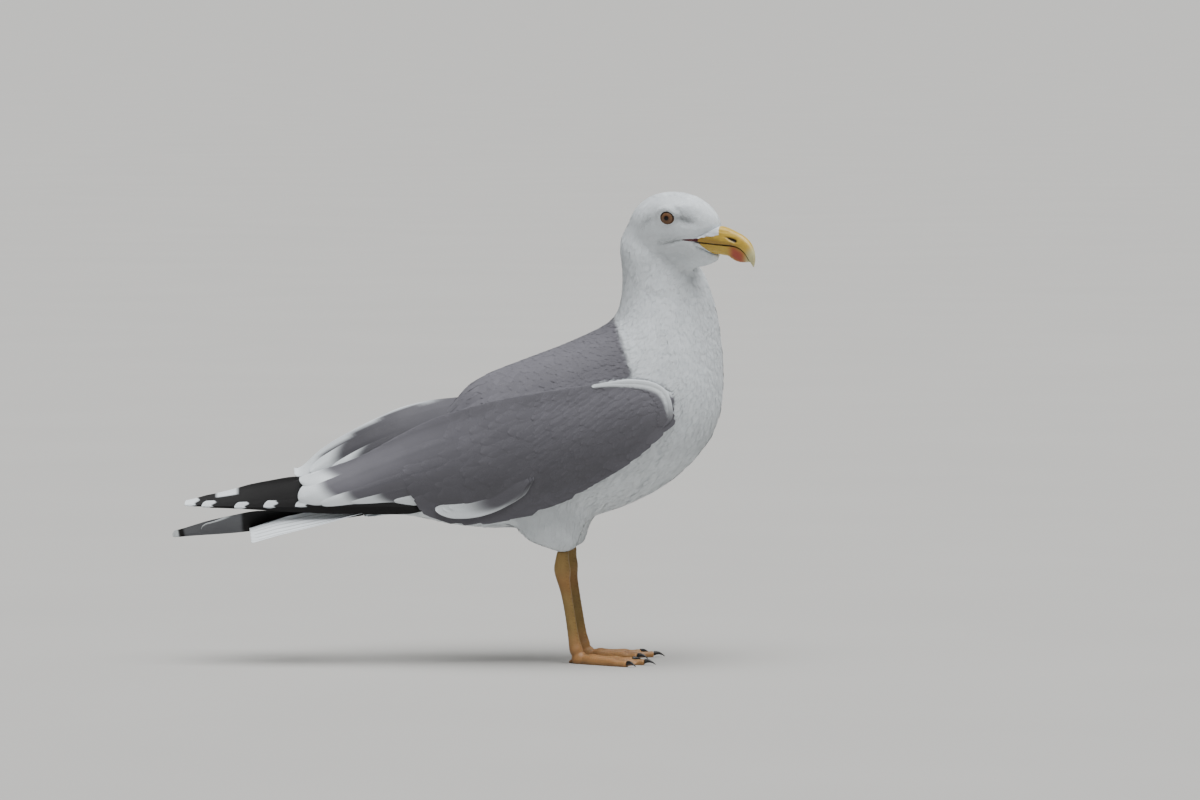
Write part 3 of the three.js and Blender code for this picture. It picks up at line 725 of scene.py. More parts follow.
coatNodes = fleshNodes + ["wing_right", "wing_left"]
coatPoints, coatFaces = nodeMesh(*coatNodes)
coatSurface = surfaceOf(coatPoints, coatFaces)
coatFaceNode = np.concatenate([np.full(len(nodeMesh(name)[1]), i) for i, name in enumerate(coatNodes)])


def nearestNode(points):  # the name's number in coatNodes
    return np.array([coatFaceNode[coatSurface.find_nearest(p)[2]] for p in points])


skinMesh = makeSkin()
skinPoints, skinNormals, skinEdges = meshPoints(skinMesh), meshNormals(skinMesh), meshEdges(skinMesh)
skinFaces = meshFaces(skinMesh)
skinSurface = surfaceOf(skinPoints, skinFaces)
skinNode = nearestNode(skinPoints)
wingNumbers = [coatNodes.index("wing_right"), coatNodes.index("wing_left")]
thighNumbers = [coatNodes.index("thigh_right"), coatNodes.index("thigh_left")]


def blurred(inside, passes):  # 1 inside, spread over the border by passes
    values = inside.astype(float)[:, None]
    for _ in range(passes):
        values = neighbourMean(values, skinEdges, len(skinPoints))
    return values[:, 0]


greyBack = {  # it ends on a line that leans forward as it goes down; the wings' leading edges are white
    "lean": 0.32, "ahead": 1 * mm, "underWing": 14 * mm, "shoulder": (-35 * mm, -5 * mm),
    "edgeLong": 52 * mm, "edgeFaces": unit(np.array([0.55, 0, 0.83])),
}
skinWing = blurred(np.isin(skinNode, wingNumbers), 2)
atBend = skinPoints[:, 0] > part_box("wing_right")[1][0] - greyBack["edgeLong"]
leadingEdge = step(0.55, 0.85, skinNormals @ greyBack["edgeFaces"]) * atBend
backHigh = np.array(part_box("mantle")[1])
backLine = backHigh[0] + greyBack["ahead"] + greyBack["lean"] * (backHigh[2] - skinPoints[:, 2])
wingTops = np.min([heightAt(sheet, skinPoints[:, 0], 0.0) for sheet in wingSheets.values()], axis=0)
shoulder = step(*[backHigh[0] + place for place in greyBack["shoulder"]], skinPoints[:, 0])
wingTops = wingTops - greyBack["underWing"] * (1 - shoulder)
skinBack = blurred((skinPoints[:, 0] < backLine) & (skinPoints[:, 2] > wingTops), 8)
skinGrey = np.maximum(step(0.35, 0.65, skinBack), step(0.4, 0.6, skinWing) * (1 - leadingEdge))
nearBorder = blurred(skinGrey > 0.5, 24)
print("skin:", len(skinPoints), "points")


# The markings: white but for the grey back and wings, with painted shade on the face. Skin and coat both take
# their colour here.
def markings(grey, points):
    forward, out, up = (inHead(points) / mm).T
    # painted shadow of the brow over the eye, then the painted shade of the face's forms
    paintedBrowShadow = hump(np.hypot(forward, up) - 6, 2) * step(-3, 3, up)
    paintedShade = faceSum(forward, up, "paintedShade") + 0.35 * paintedBrowShadow
    paintedShade = np.clip(paintedShade, 0, 0.6) * step(4, 10, np.abs(out))
    colour = mix(plumageColours["white"], plumageColours["grey"], grey[:, None])
    return colour * (1 - paintedShade[:, None])


def unwrapRound(points):  # the skin unrolled: along the spine, and round it
    along, off, raw = besideSpine(points)
    lengths = np.linalg.norm(along, axis=1)
    share = np.clip(raw, 0, 1)
    share[:, 0] = np.minimum(raw[:, 0], 1)  # runs on past both ends
    share[:, -1] = np.maximum(raw[:, -1], 0)
    offsets = off - share[..., None] * along
    nearest = np.argmin(np.linalg.norm(offsets, axis=-1), axis=1)
    rows = np.arange(len(points))
    began = np.concatenate([[0], np.cumsum(lengths)[:-1]])
    distance = began[nearest] + share[rows, nearest] * lengths[nearest]
    axis = unit(along)[nearest]
    offset = offsets[rows, nearest]
    upward = unit(np.cross(np.cross(axis, [1, 0, 0.6]), axis))
    angle = np.arctan2(offset[:, 1], np.sum(offset * upward, axis=1))
    return np.c_[distance, angle]


def skinMap(points):  # unrolled places, fitted to the unit square
    roll = unwrapRound(points)
    return 0.01 + 0.98 * (roll - roll.min(0)) / np.maximum(np.ptp(roll, axis=0), 1e-9)


patchWide = 0.003  # of the unit square


def patchPlaces(roots, patch):  # each feather is one small patch at its root's place
    places = np.repeat(skinMap(roots), len(patch), axis=0)
    return places + np.tile(patch * patchWide, (len(roots), 1))


# What the feathers are laid on: the skin, and the root of the bill
hornPoints, hornFaces = joinArrays(hornSurface)
hornNormals = meshNormals(makeMesh("hornRoot", hornPoints, triangles=hornFaces))
outOfBill = np.sum(hornNormals * (hornPoints - fromHead([48 * mm, 0, -8 * mm])), 1)
hornNormals *= np.where(outOfBill < 0, -1, 1)[:, None]
coveredPoints, coveredFaces = joinArrays([(skinPoints, skinFaces), (hornPoints, hornFaces)])
coveredNormals = np.concatenate([skinNormals, hornNormals])
coveredSurface = surfaceOf(coveredPoints, coveredFaces)


darts = 4.5  # thrown for each square of the spacing


def scatter(corners, spacing):  # seeded points on these triangles, none nearer than the spacing
    areas = np.linalg.norm(np.cross(corners[:, 1] - corners[:, 0], corners[:, 2] - corners[:, 0]), axis=1) / 2
    count = int(darts * areas.sum() / spacing ** 2)
    picked = seeded.choice(len(areas), count, p=areas / areas.sum())
    a, b = seeded.random((2, count, 1))
    flip = a + b > 1
    a, b = np.where(flip, 1 - a, a), np.where(flip, 1 - b, b)
    c = corners[picked]
    places = c[:, 0] + a * (c[:, 1] - c[:, 0]) + b * (c[:, 2] - c[:, 0])
    cells = np.floor(places / spacing).astype(int)
    taken, kept = {}, []
    steps = [(i, j, k) for i in (-1, 0, 1) for j in (-1, 0, 1) for k in (-1, 0, 1)]
    for number, (cell, place) in enumerate(zip(map(tuple, cells), places)):
        around = [(cell[0] + i, cell[1] + j, cell[2] + k) for i, j, k in steps]
        near = [taken[key] for key in around if key in taken]
        if all(np.dot(place - other, place - other) > spacing ** 2 for group in near for other in group):
            taken.setdefault(cell, []).append(place)
            kept.append(number)
    return places[kept]


def trace(roots, lengths, steps=3, turn=0.0):  # follows the lie over the skin from each root
    rows, normals, sideways = [], [], []
    place = roots.copy()
    lean = seeded.normal(0, turn, (len(roots), 1))
    for _ in range(steps + 1):
        found = [coveredSurface.find_nearest(p) for p in place]
        place = np.array([hit[0] for hit in found])
        normal = unit(coveredNormals[coveredFaces[[hit[2] for hit in found]]].mean(1))
        flow = lieOfFeathers(place)
        thigh = np.isin(nearestNode(place), thighNumbers)
        flow = np.where(thigh[:, None], featherLie["thigh"], flow)
        flow = unit(flow - normal * np.sum(flow * normal, axis=1, keepdims=True))
        across = np.cross(flow, normal)
        flow = unit(flow + across * lean)
        rows.append(place)
        normals.append(normal)
        sideways.append(np.cross(flow, normal))
        place = place + flow * (lengths / steps)[:, None]
    return np.stack(rows, 1), np.stack(normals, 1), np.stack(sideways, 1)


def alongRows(rows, shares):  # places between traced rows, for every feather at once
    at = np.asarray(shares) * (rows.shape[1] - 1)
    i = np.minimum(at.astype(int), rows.shape[1] - 2)
    f = (at - i)[..., None]
    if at.ndim == 1:
        return rows[:, i] * (1 - f) + rows[:, i + 1] * f
    pick = np.arange(len(rows))[:, None]
    return rows[pick, i] * (1 - f) + rows[pick, i + 1] * f


def plumageMaterial(name, barbSpacing, barbDepth, roughness, sheen):
    # Feather keratin, grown as fine parallel barbs: matt, with a soft bloom at glancing light.
    material, tree, solid = newMaterial(name)
    place = addNode(tree, "UVMap", {"uv_map": "vane"})
    barbs = addNode(tree, "TexWave", {"wave_type": "BANDS", "bands_direction": "X", "Scale": 1 / barbSpacing,
                                      "Distortion": 1.2, "Detail": 2.0, "Detail Scale": 0.4},
                    {"Vector": place.outputs["UV"]})
    mottle = addNode(tree, "TexNoise", {"Scale": perMetre(18.18), "Detail": 3.0, "Roughness": 0.6},
                     {"Vector": solid})
    shade = addNode(tree, "MapRange", {"From Min": 0.3, "From Max": 0.7, "To Min": 0.93, "To Max": 1.03},
                    {"Value": mottle.outputs["Fac"]})
    groove = addNode(tree, "MapRange", {"To Min": 0.94, "To Max": 1.02}, {"Value": barbs.outputs["Fac"]})
    both = addNode(tree, "Math", {"operation": "MULTIPLY"}, {0: shade.outputs[0], 1: groove.outputs[0]})
    surface = {"Roughness": roughness, "IOR": 1.54, "Specular IOR Level": 0.22, "Sheen Weight": sheen,
               "Sheen Roughness": 0.5}
    finishMaterial(tree, "plumage", both.outputs[0], surface, barbs.outputs["Fac"],
                   {"Strength": barbDepth, "Distance": 0.1 * mm})
    return material


# Down and short contour feathers, loose and soft.
softPlumage = plumageMaterial("contourFeatherKeratin", 0.9, 0.15, 0.85, 0.2)
# Firm vanes of the back and wings, combed flat: the barbs are drawn 0.8 mm apart, coarser than life, to show.
vanePlumage = plumageMaterial("vaneFeatherKeratin", 0.8, 0.3, 0.62, 0.05)


def skinMaterial():
    # Skin under down: dull, and broken up by the combed down.
    material, tree, solid = newMaterial("downySkin")
    down = addNode(tree, "TexNoise", {"Scale": perMetre(2.381), "Detail": 4.0, "Roughness": 0.7},
                   {"Vector": solid})
    shade = addNode(tree, "MapRange", {"From Min": 0.3, "From Max": 0.7, "To Min": 0.9, "To Max": 1.0},
                    {"Value": down.outputs["Fac"]})
    finishMaterial(tree, "plumage", shade.outputs[0], {"Roughness": 0.9, "Specular IOR Level": 0.25},
                   down.outputs["Fac"], {"Strength": 0.4, "Distance": 0.4 * mm})
    return material


# the wings' grey skin, which shows between their feathers, painted a quarter darker: painted shade
skinColours = markings(skinGrey, skinPoints) * mix(1, 0.75, (skinWing * skinGrey)[:, None])
paint(skinMesh, skinColours)
addMap(skinMesh, "OFBake", skinMap(skinPoints))
addPiece("skin", skinMesh, skinMaterial(), "white_plumage", fleshNodes + ["wing_right", "wing_left"])


# The seven corners of a barb, over its patch of the map
barbPatch = np.array([[0, 0], [1, 0], [0, 0.35], [1, 0.35], [0, 0.7], [1, 0.7], [0.5, 1]]) - 0.5


def tuftMesh(name, roots, sizes):  # each soft feather is a fan of tapering barbs
    count, barbs, vary = len(roots), sizes["barbs"], tuftVariety
    border = step(0.0, 0.12, skinValue(nearBorder, roots))  # shorter where white meets grey
    fromEye = np.min([np.linalg.norm(roots - c, axis=1) for c in eyeCentres.values()], axis=0)
    small = mix(1, vary["atBorder"], border) * mix(vary["atEye"], 1, step(*vary["eyeReach"], fromEye))
    lengths = sizes["long"] * seeded.uniform(*vary["long"], count) * small
    traced = trace(roots, lengths, turn=vary["turn"])
    skinLie = np.repeat(traced[1][:, 1][:, None], barbs * 7, 1).reshape(-1, 3)
    spread = np.linspace(-1, 1, barbs)[None, :] + seeded.normal(0, vary["spread"], (count, barbs))
    reach = 1 - vary["rounded"] * spread ** 2 + seeded.normal(0, vary["reach"], (count, barbs))
    shares = np.array([0.0, 0.35, 0.7, 1.0])
    thin = np.array([0.75, 1.0, 0.72, 0.0]) * sizes["barbWide"]
    grid = []
    for share, wide in zip(shares, thin):
        at = np.clip(reach * share, 0, 1)
        centre, normal, side = (alongRows(rows, at) for rows in traced)
        lift = sizes["lift"] * share ** 1.3 * (1 + 0.45 * seeded.random((count, 1, 1))) * small[:, None, None]
        lift = lift + sizes["lift"] * 0.3 * seeded.random((count, barbs, 1)) * share
        fan = (sizes["wide"] * mix(0.5, 1, small))[:, None, None] * (0.25 + 0.75 * share)
        fan = fan * spread[..., None] / 2
        centre = centre + side * fan + normal * lift
        if wide > 0:
            grid += [centre - side * wide / 2, centre + side * wide / 2]
        else:
            grid += [centre]
    points = np.stack(grid, 2)  # tuft, barb, 7 corners
    first = (np.arange(count * barbs) * 7)[:, None]
    quads = np.concatenate([first + [0, 1, 3, 2], first + [2, 3, 5, 4]])
    triangles = first + [4, 5, 6]
    mesh = makeMesh(name, points.reshape(-1, 3), quads, triangles)
    softenNormals(mesh, skinLie, 0.85)
    grey = greyAt(roots, vary["ragged"])
    tone = 1 + seeded.normal(0, vary["tone"], (count, 1))
    colours = np.repeat(np.clip(markings(grey, roots) * tone, 0, 0.9), barbs * 7, axis=0)
    places = points.reshape(-1, 3)
    atBorder = np.repeat(border > 0.05, barbs * 7)  # here each barb takes the colour of the skin under it
    colours[atBorder] = markings(skinValue(skinGrey, places[atBorder]), places[atBorder])
    paint(mesh, colours)
    addMap(mesh, "OFBake", patchPlaces(roots, np.tile(barbPatch, (barbs, 1))))
    inner = np.tile([[0, 0], [1, 0], [0, 3.5], [1, 3.5], [0, 7], [1, 7], [0.5, 10]], (count * barbs, 1))
    addMap(mesh, "vane", inner + np.repeat(seeded.random((count * barbs, 2)) * 20, 7, axis=0))
    return mesh


def softenNormals(mesh, lie, share):  # plumage shades more as the body under it does than barb by barb
    own = meshNormals(mesh)
    own = np.where(np.sum(own * lie, 1, keepdims=True) < 0, -own, own)
    mesh.normals_split_custom_set_from_vertices(unit(mix(own, lie, share)).tolist())


def skinValue(values, places):  # one of the skin's fields at the nearest face
    return np.array([values[skinFaces[skinSurface.find_nearest(p)[2]]].mean() for p in places])


def greyAt(roots, ragged):  # how grey the skin is near each root, with a ragged border
    return skinValue(skinGrey, roots + seeded.normal(0, ragged, roots.shape))


faceCentres = skinPoints[skinFaces].mean(1)
faceNodeNumber = skinNode[skinFaces[:, 0]]
faceInHead = inHead(faceCentres) / mm
eyeDistance = np.min([np.linalg.norm(faceCentres - c, axis=1) for c in eyeCentres.values()], axis=0)
fromBillBase = np.linalg.norm(faceCentres - billRoot, axis=1)
tractSizes = {"faceFromBill": 46 * mm, "faceFromEye": 19 * mm, "clearOfEye": 7.05 * mm,
              "undertailHigh": 24 * mm, "undertailRear": 32 * mm, "undertailFront": 6 * mm}
onHead = faceNodeNumber == coatNodes.index("head")
onWing = np.isin(faceNodeNumber, wingNumbers)
isFace = onHead & ((fromBillBase < tractSizes["faceFromBill"]) | (eyeDistance < tractSizes["faceFromEye"]))
isHead = onHead & ~isFace
isMantle = (skinBack[skinFaces[:, 0]] > 0.5) & ~onWing
isNeck = (faceNodeNumber == coatNodes.index("neck")) & ~isMantle
isThigh = np.isin(faceNodeNumber, thighNumbers)
isUndertail = (faceNodeNumber == coatNodes.index("trunk")) & (
    faceCentres[:, 2] < trunkLow[2] + tractSizes["undertailHigh"]) & (
    faceCentres[:, 0] < tractSizes["undertailFront"]) & (
    faceCentres[:, 0] > trunkLow[0] + tractSizes["undertailRear"])
isBody = ~(isUndertail | isFace | isHead | isNeck | isMantle | isThigh | onWing)
clearOfEye = eyeDistance > tractSizes["clearOfEye"]

# The corner of the mouth: forward and up, millimetres in the head's frame
gapeLine = {"corner": (16.5, -14.3), "upper": (28.6, -10.3), "lower": (29.0, -13.5)}


def inGape(places, spare=0.0):  # the bare corner of the mouth, in the head's frame
    forward, out, up = places.T
    share = (forward - gapeLine["corner"][0]) / (gapeLine["upper"][0] - gapeLine["corner"][0])
    upper = mix(gapeLine["corner"][1], gapeLine["upper"][1], share) + spare
    lower = mix(gapeLine["corner"][1], gapeLine["lower"][1], share) - spare
    return (share > -0.05) & (share < 1.1) & (up < upper) & (up > lower) & (np.abs(out) > 4)


tufts = {
    "face": {"where": isFace & clearOfEye & ~inGape(faceInHead, 0.9), "apart": 1.45 * mm, "long": 4.2 * mm,
             "wide": 2.6 * mm, "barbs": 5, "barbWide": 0.75 * mm, "lift": 0.2 * mm},
    "head": {"where": isHead & clearOfEye, "apart": 2.1 * mm, "long": 7.5 * mm,
             "wide": 4.2 * mm, "barbs": 6, "barbWide": 1.05 * mm, "lift": 0.3 * mm},
    "neck": {"where": isNeck, "apart": 2.8 * mm, "long": 11 * mm,
             "wide": 5.8 * mm, "barbs": 7, "barbWide": 1.35 * mm, "lift": 0.42 * mm},
    "body": {"where": isBody, "apart": 3.5 * mm, "long": 15 * mm,
             "wide": 8 * mm, "barbs": 8, "barbWide": 1.65 * mm, "lift": 0.6 * mm},
    "thigh": {"where": isThigh, "apart": 2.4 * mm, "long": 10 * mm,
              "wide": 5 * mm, "barbs": 7, "barbWide": 1.15 * mm, "lift": 0.55 * mm},
}
tuftVariety = {  # how soft feathers differ from one another, and how short they are by the border and the eye
    "turn": 0.12, "tone": 0.02, "ragged": 0.5 * mm, "long": (0.8, 1.15), "spread": 0.12, "reach": 0.05,
    "rounded": 0.22, "atBorder": 0.45, "atEye": 0.4, "eyeReach": (7 * mm, 13.5 * mm),
}
for tract, sizes in tufts.items():
    corners = skinPoints[skinFaces[sizes["where"]]]
    if tract == "face":
        corners = np.concatenate([corners, *hornRoots])
    roots = scatter(corners, sizes["apart"])
    if tract == "face":
        behind = inHead(roots) / mm - [1.6, 0, 0]
        roots = roots[~inGape(behind, 0.7)]
    mesh = tuftMesh(f"coat_{tract}", roots, sizes)
    addPiece(f"coat_{tract}", mesh, softPlumage, "white_plumage")
    print("coat:", tract, len(roots), "feathers,", len(mesh.polygons), "faces")


def gridPatch(along, spread):
    return np.stack(np.meshgrid(along, spread / 2, indexing="ij"), -1).reshape(-1, 2)


# Vanes: firm feathers with a shaft and two webs
def vaneOutline(along, blunt, neck):  # half width as a share, from the root to the tip
    base = neck + (1 - neck) * step(0, 0.3, along)
    tip = np.sqrt(np.clip(1 - (np.clip(along - blunt, 0, 1) / (1 - blunt)) ** 2, 0, 1))
    return base * tip


def vaneMesh(name, centre, normal, across, halfWide, sizes, colours, roots):
    # Small vanes as arched sheets: centre, normal and across hold each feather's rows.
    count, rows = centre.shape[:2]
    spread = np.linspace(-1, 1, sizes["columns"])
    wide = halfWide[..., None, None] * spread[None, None, :, None]
    sink = -np.abs(spread[None, None, :, None]) ** 2 * halfWide[..., None, None] * sizes["arch"]
    shaft = hump(spread, 0.12)[None, None, :, None] * sizes["shaft"]
    points = centre[:, :, None] + across[:, :, None] * wide + normal[:, :, None] * (sink + shaft)
    mesh = makeMesh(name, points.reshape(-1, 3), gridFaces(count, rows, sizes["columns"]))
    lie = np.repeat(normal.reshape(-1, 3), sizes["columns"], axis=0)
    softenNormals(mesh, lie, sizes["soft"])
    paint(mesh, colours.reshape(-1, 3))
    addMap(mesh, "OFBake", patchPlaces(roots, gridPatch(np.linspace(0, 1, rows), spread)))
    mapVanes(mesh, centre, halfWide, spread)
    return mesh


def mapVanes(mesh, centre, halfWide, spread):  # millimetres: across the barbs, and along the shaft
    run = np.linalg.norm(np.diff(centre, axis=1), axis=2)
    along = np.concatenate([np.zeros((len(centre), 1)), np.cumsum(run, 1)], 1) / mm
    across = halfWide[..., None] * spread / mm
    slant = along[..., None] - np.abs(across) * 1.2  # barbs leave the shaft towards the tip
    addMap(mesh, "vane", np.stack([slant, across], -1).reshape(-1, 2))


def vaneColours(base, sizes):  # a pale worn fringe on each feather
    count, rows = base.shape[:2]
    along = np.linspace(0, 1, rows)[None, :, None, None]
    spread = np.abs(np.linspace(-1, 1, sizes["columns"]))[None, None, :, None]
    edge = np.maximum(step(0.8, 1.0, along), step(0.75, 1.0, spread) * step(0.3, 0.8, along))
    tone = 1 + seeded.normal(0, sizes["tone"], (count, 1, 1, 1))
    return np.clip(base * tone * (1 + sizes["fringe"] * edge), 0, 0.9)


vaneTracts = {
    "mantle": {"where": isMantle, "slot": "grey_plumage",
               "front": {"apart": 2.0 * mm, "long": 7 * mm, "wide": 4 * mm},
               "rear": {"apart": 7.0 * mm, "long": 28 * mm, "wide": 16 * mm},
               "lift": 0.45 * mm, "uneven": 0.12 * mm, "tone": 0.022, "fringe": 0.06},
    "undertail": {"where": isUndertail, "slot": "white_plumage",
                  "front": {"apart": 4.5 * mm, "long": 15 * mm, "wide": 9 * mm},
                  "rear": {"apart": 7.5 * mm, "long": 36 * mm, "wide": 15 * mm},
                  "lift": 1.2 * mm, "uneven": 0.25 * mm, "tone": 0.015, "fringe": 0.0},
}
vaneShape = {"rows": 7, "columns": 7, "arch": 0.08, "shaft": 0.04 * mm, "soft": 0.8, "blunt": 0.55,
             "neck": 0.5, "long": (0.85, 1.12), "turn": 0.05}


def makeVanes(tract, sizes):  # overlapping vanes, growing from the front of the tract to its rear
    first, last = faceCentres[sizes["where"], 0].max(), faceCentres[sizes["where"], 0].min()
    behind = (first - faceCentres[:, 0]) / (first - last)
    roots = []
    for near, far in ((-0.01, 0.3), (0.3, 0.6), (0.6, 1.01)):
        band = sizes["where"] & (behind >= near) & (behind < far)
        apart = mix(sizes["front"]["apart"], sizes["rear"]["apart"], (near + far) / 2)
        roots.append(scatter(skinPoints[skinFaces[band]], apart))
    roots = np.concatenate(roots)
    share = np.clip((first - roots[:, 0]) / (first - last), 0, 1)
    lengths = mix(sizes["front"]["long"], sizes["rear"]["long"], share)
    lengths = lengths * seeded.uniform(*vaneShape["long"], len(roots))
    wides = mix(sizes["front"]["wide"], sizes["rear"]["wide"], share)
    lines, normals, across = trace(roots, lengths, turn=vaneShape["turn"])
    along = np.linspace(0, 1, vaneShape["rows"])
    lift = sizes["lift"] * (0.2 + 0.8 * along ** 1.5)[None, :, None]
    lift = lift + sizes["uneven"] * seeded.random((len(roots), 1, 1)) * along[None, :, None]
    centre = alongRows(lines, along) + alongRows(normals, along) * lift
    half = wides[:, None] / 2 * vaneOutline(along, vaneShape["blunt"], vaneShape["neck"])[None]
    places = centre.reshape(-1, 3)
    base = markings(skinValue(skinGrey, places), places).reshape(len(roots), -1, 1, 3)
    colours = vaneColours(base, vaneShape | sizes)
    mesh = vaneMesh(f"coat_{tract}", centre, unit(alongRows(normals, along)), alongRows(across, along), half,
                    vaneShape, colours, roots)
    addPiece(f"coat_{tract}", mesh, vanePlumage, sizes["slot"])
    print("coat:", tract, len(roots), "feathers,", len(mesh.polygons), "faces")


for tract, sizes in vaneTracts.items():
    makeVanes(tract, sizes)


# Feathers laid on the sheets
def layFlat(row, shape, share, spread):
    # One feather before it is bent to its sheet: (x, height) places, the distance from the tip, and how far
    # each place is raised. A row holds root x and height, tip x and height, bow, upper and lower half
    # widths, and layer, all in millimetres.
    rootX, rootHigh, tipX, tipHigh, bow, up, down, layer = row
    root, tip = np.array([rootX, rootHigh]), np.array([tipX, tipHigh])
    length = np.linalg.norm(tip - root)
    along = (tip - root) / length
    across = np.array([along[1], -along[0]])
    fromTip = (1 - share) * length + 0.15
    line = root + np.outer(share, tip - root) + np.outer(4 * share * (1 - share) * bow, across)
    width = np.sqrt(1 - (1 - np.minimum(fromTip / shape["round"], 1)) ** 2)
    width = width * mix(shape["taper"], 1, step(0, shape["taperLong"], fromTip))
    width = width * mix(shape["neck"], 1, step(0, 0.16, share))
    half = np.where(spread > 0, up, down)[None] * width[:, None]
    flat = line[:, None] + (spread * half)[..., None] * across
    raised = (layer + shape["lift"] * share[:, None] ** 2 - shape["arch"] * spread ** 2
              + shape["rib"] * hump(spread, 0.12) + shape.get("tilt", 0) * spread
              - shape.get("sink", 0) * (1 - step(0, 0.22, share[:, None])))
    return flat, fromTip[:, None] * np.ones_like(raised), raised


def outwardLie(middle, outward):  # the upright on each place of a laid feather, looking outward
    lie = unit(np.cross(np.gradient(middle, axis=0), np.gradient(middle, axis=1)))
    return lie * np.where(lie @ outward < 0, -1, 1)[..., None]


def cellMap(number, count, along, spread):  # each large feather is one cell of an even grid
    wide = math.ceil(math.sqrt(count))
    u = (number % wide + 0.08 + 0.84 * (spread + 1) / 2) / wide
    v = (number // wide + 0.08 + 0.84 * along) / wide
    return np.stack(np.broadcast_arrays(u, v), -1)


def closedFaces(count, rows, columns):  # upper and lower grids of each blade, and the rim between them
    upper = gridFaces(1, rows, columns)
    under = rows * columns
    ring = np.concatenate([np.arange(columns - 1), np.arange(rows - 1) * columns + columns - 1,
                           under - 1 - np.arange(columns - 1), (rows - 1 - np.arange(rows - 1)) * columns])
    after = np.roll(ring, -1)
    rim = np.stack([after, ring, ring + under, after + under], 1)
    one = np.concatenate([upper, upper[:, ::-1] + under, rim])
    return (np.arange(count)[:, None, None] * under * 2 + one[None]).reshape(-1, 4)


def facedOut(faces, places, outward):  # turned over where the first feather's faces look inward
    looking = np.cross(places[0, 1] - places[0, 0], places[1, 1] - places[0, 1]) @ outward
    return faces[:, ::-1] if looking < 0 else faces


def topGap(sheet, flat):  # how far below the sheet's upper edge each place is, in millimetres
    return heightAt(sheet, flat[..., 0] * mm, 0.0) / mm - flat[..., 1]


def bentTo(sheet, flat, raised):  # laid on the sheet, and kept under its upper edge
    flat[..., 1] = np.minimum(flat[..., 1], heightAt(sheet, flat[..., 0] * mm, 0.0) / mm)
    return onSheet(sheet, flat[..., 0] * mm, flat[..., 1] * mm, raised * mm)


def layFeathers(feathers, sheet, shape, share, spread, colourOf):
    # For each row of feathers: its middle surface, the upright on it, its colours and its vane map.
    barbs, wide = shape.get("vane", (6, 10))
    for number, row in enumerate(feathers):
        flat, fromTip, raised = layFlat(row, shape, share, spread)
        middle = bentTo(sheet, flat, raised)
        colour = colourOf(number, fromTip, spread[None] * np.ones_like(fromTip), flat)
        vane = np.stack([fromTip + np.abs(spread) * barbs, spread * wide + 0 * fromTip], -1)
        yield middle, outwardLie(middle, sheet["outward"]), colour, vane


def addFeathers(name, faces, laid, soft, places, slot, replaces=()):
    points, lies, colours, vanes = (np.concatenate(part) for part in zip(*laid))
    mesh = makeMesh(name, points.reshape(-1, 3), faces)
    softenNormals(mesh, lies.reshape(-1, 3), soft)
    paint(mesh, np.clip(colours.reshape(-1, 3), 0, 0.9))
    addMap(mesh, "OFBake", places)
    addMap(mesh, "vane", vanes.reshape(-1, 2))
    print("feathers:", name, len(mesh.polygons), "faces")
    addPiece(name, mesh, vanePlumage, slot, replaces)


bladeThick = 0.5 * mm


def makeBlades(name, sheet, feathers, shape, colourOf, slot, replaces=()):
    rows, columns, count = shape.get("rows", 60), shape.get("columns", 13), len(feathers)
    spread = np.linspace(-1, 1, columns)
    share = 1 - (1 - np.linspace(0, 1, rows)) ** 1.4  # rows lie closer towards the tip
    thick = bladeThick / 2 * (1 - 0.85 * spread[None, :, None] ** 2)
    laid, cells = [], []
    for number, feather in enumerate(layFeathers(feathers, sheet, shape, share, spread, colourOf)):
        middle, lie, colour, vane = feather
        for turned in (1, -1):
            laid.append((middle + lie * thick * turned, lie * turned, colour, vane))
            cells.append(cellMap(number, count, share[:, None], spread[None]))
    faces = facedOut(closedFaces(count, rows, columns), laid[0][0], sheet["outward"])
    addFeathers(name, faces, laid, 0.5, np.concatenate(cells).reshape(-1, 2), slot, replaces)


def shaded(colour, share):  # a colour spread over a grid of shares
    return colour[None, None] * share[..., None]


def whitened(colour, share):
    return mix(colour, plumageColours["white"], share[..., None])


def paleTip(colour, fromTip, spread, long, soft):  # white over the tip, running a little up both edges
    white = 1 - step(long - soft, long + soft, fromTip * (1 - 0.25 * spread ** 2) + 0.2 * long * spread)
    return whitened(colour, white)


shapes = {  # millimetres, but taper and neck are shares of the full width
    "tertial": {"round": 15, "taper": 0.7, "taperLong": 50, "neck": 0.9, "lift": 0.3, "arch": 0.9,
                "rib": 0.15, "sink": 1.8},
    "secondary": {"round": 13, "taper": 0.9, "taperLong": 30, "neck": 0.3, "lift": 0.2, "arch": 0.3,
                  "rib": 0.1, "tilt": -1.3},
    "primary": {"round": 4.5, "taper": 0.2, "taperLong": 115, "neck": 0.4, "lift": 0.1, "arch": 0.4,
                "rib": 0.15, "rows": 110, "columns": 31},
    "innerPrimary": {"round": 6, "taper": 0.3, "taperLong": 60, "neck": 0.4, "lift": 0.1, "arch": 0.4,
                     "rib": 0.15, "rows": 110, "columns": 31},
    "tail": {"round": 6, "taper": 0.85, "taperLong": 30, "neck": 0.5, "lift": 0.1, "arch": 0.3, "rib": 0.12},
    "covert": {"round": 6, "taper": 0.85, "taperLong": 12, "neck": 0.6, "lift": 0.25, "arch": 0.2,
               "rib": 0.04, "vane": (3, 5)},
    "marginal": {"round": 3, "taper": 0.8, "taperLong": 7, "neck": 0.7, "lift": 0.1, "arch": 0.2,
                 "rib": 0.03, "rows": 10, "columns": 7},
}
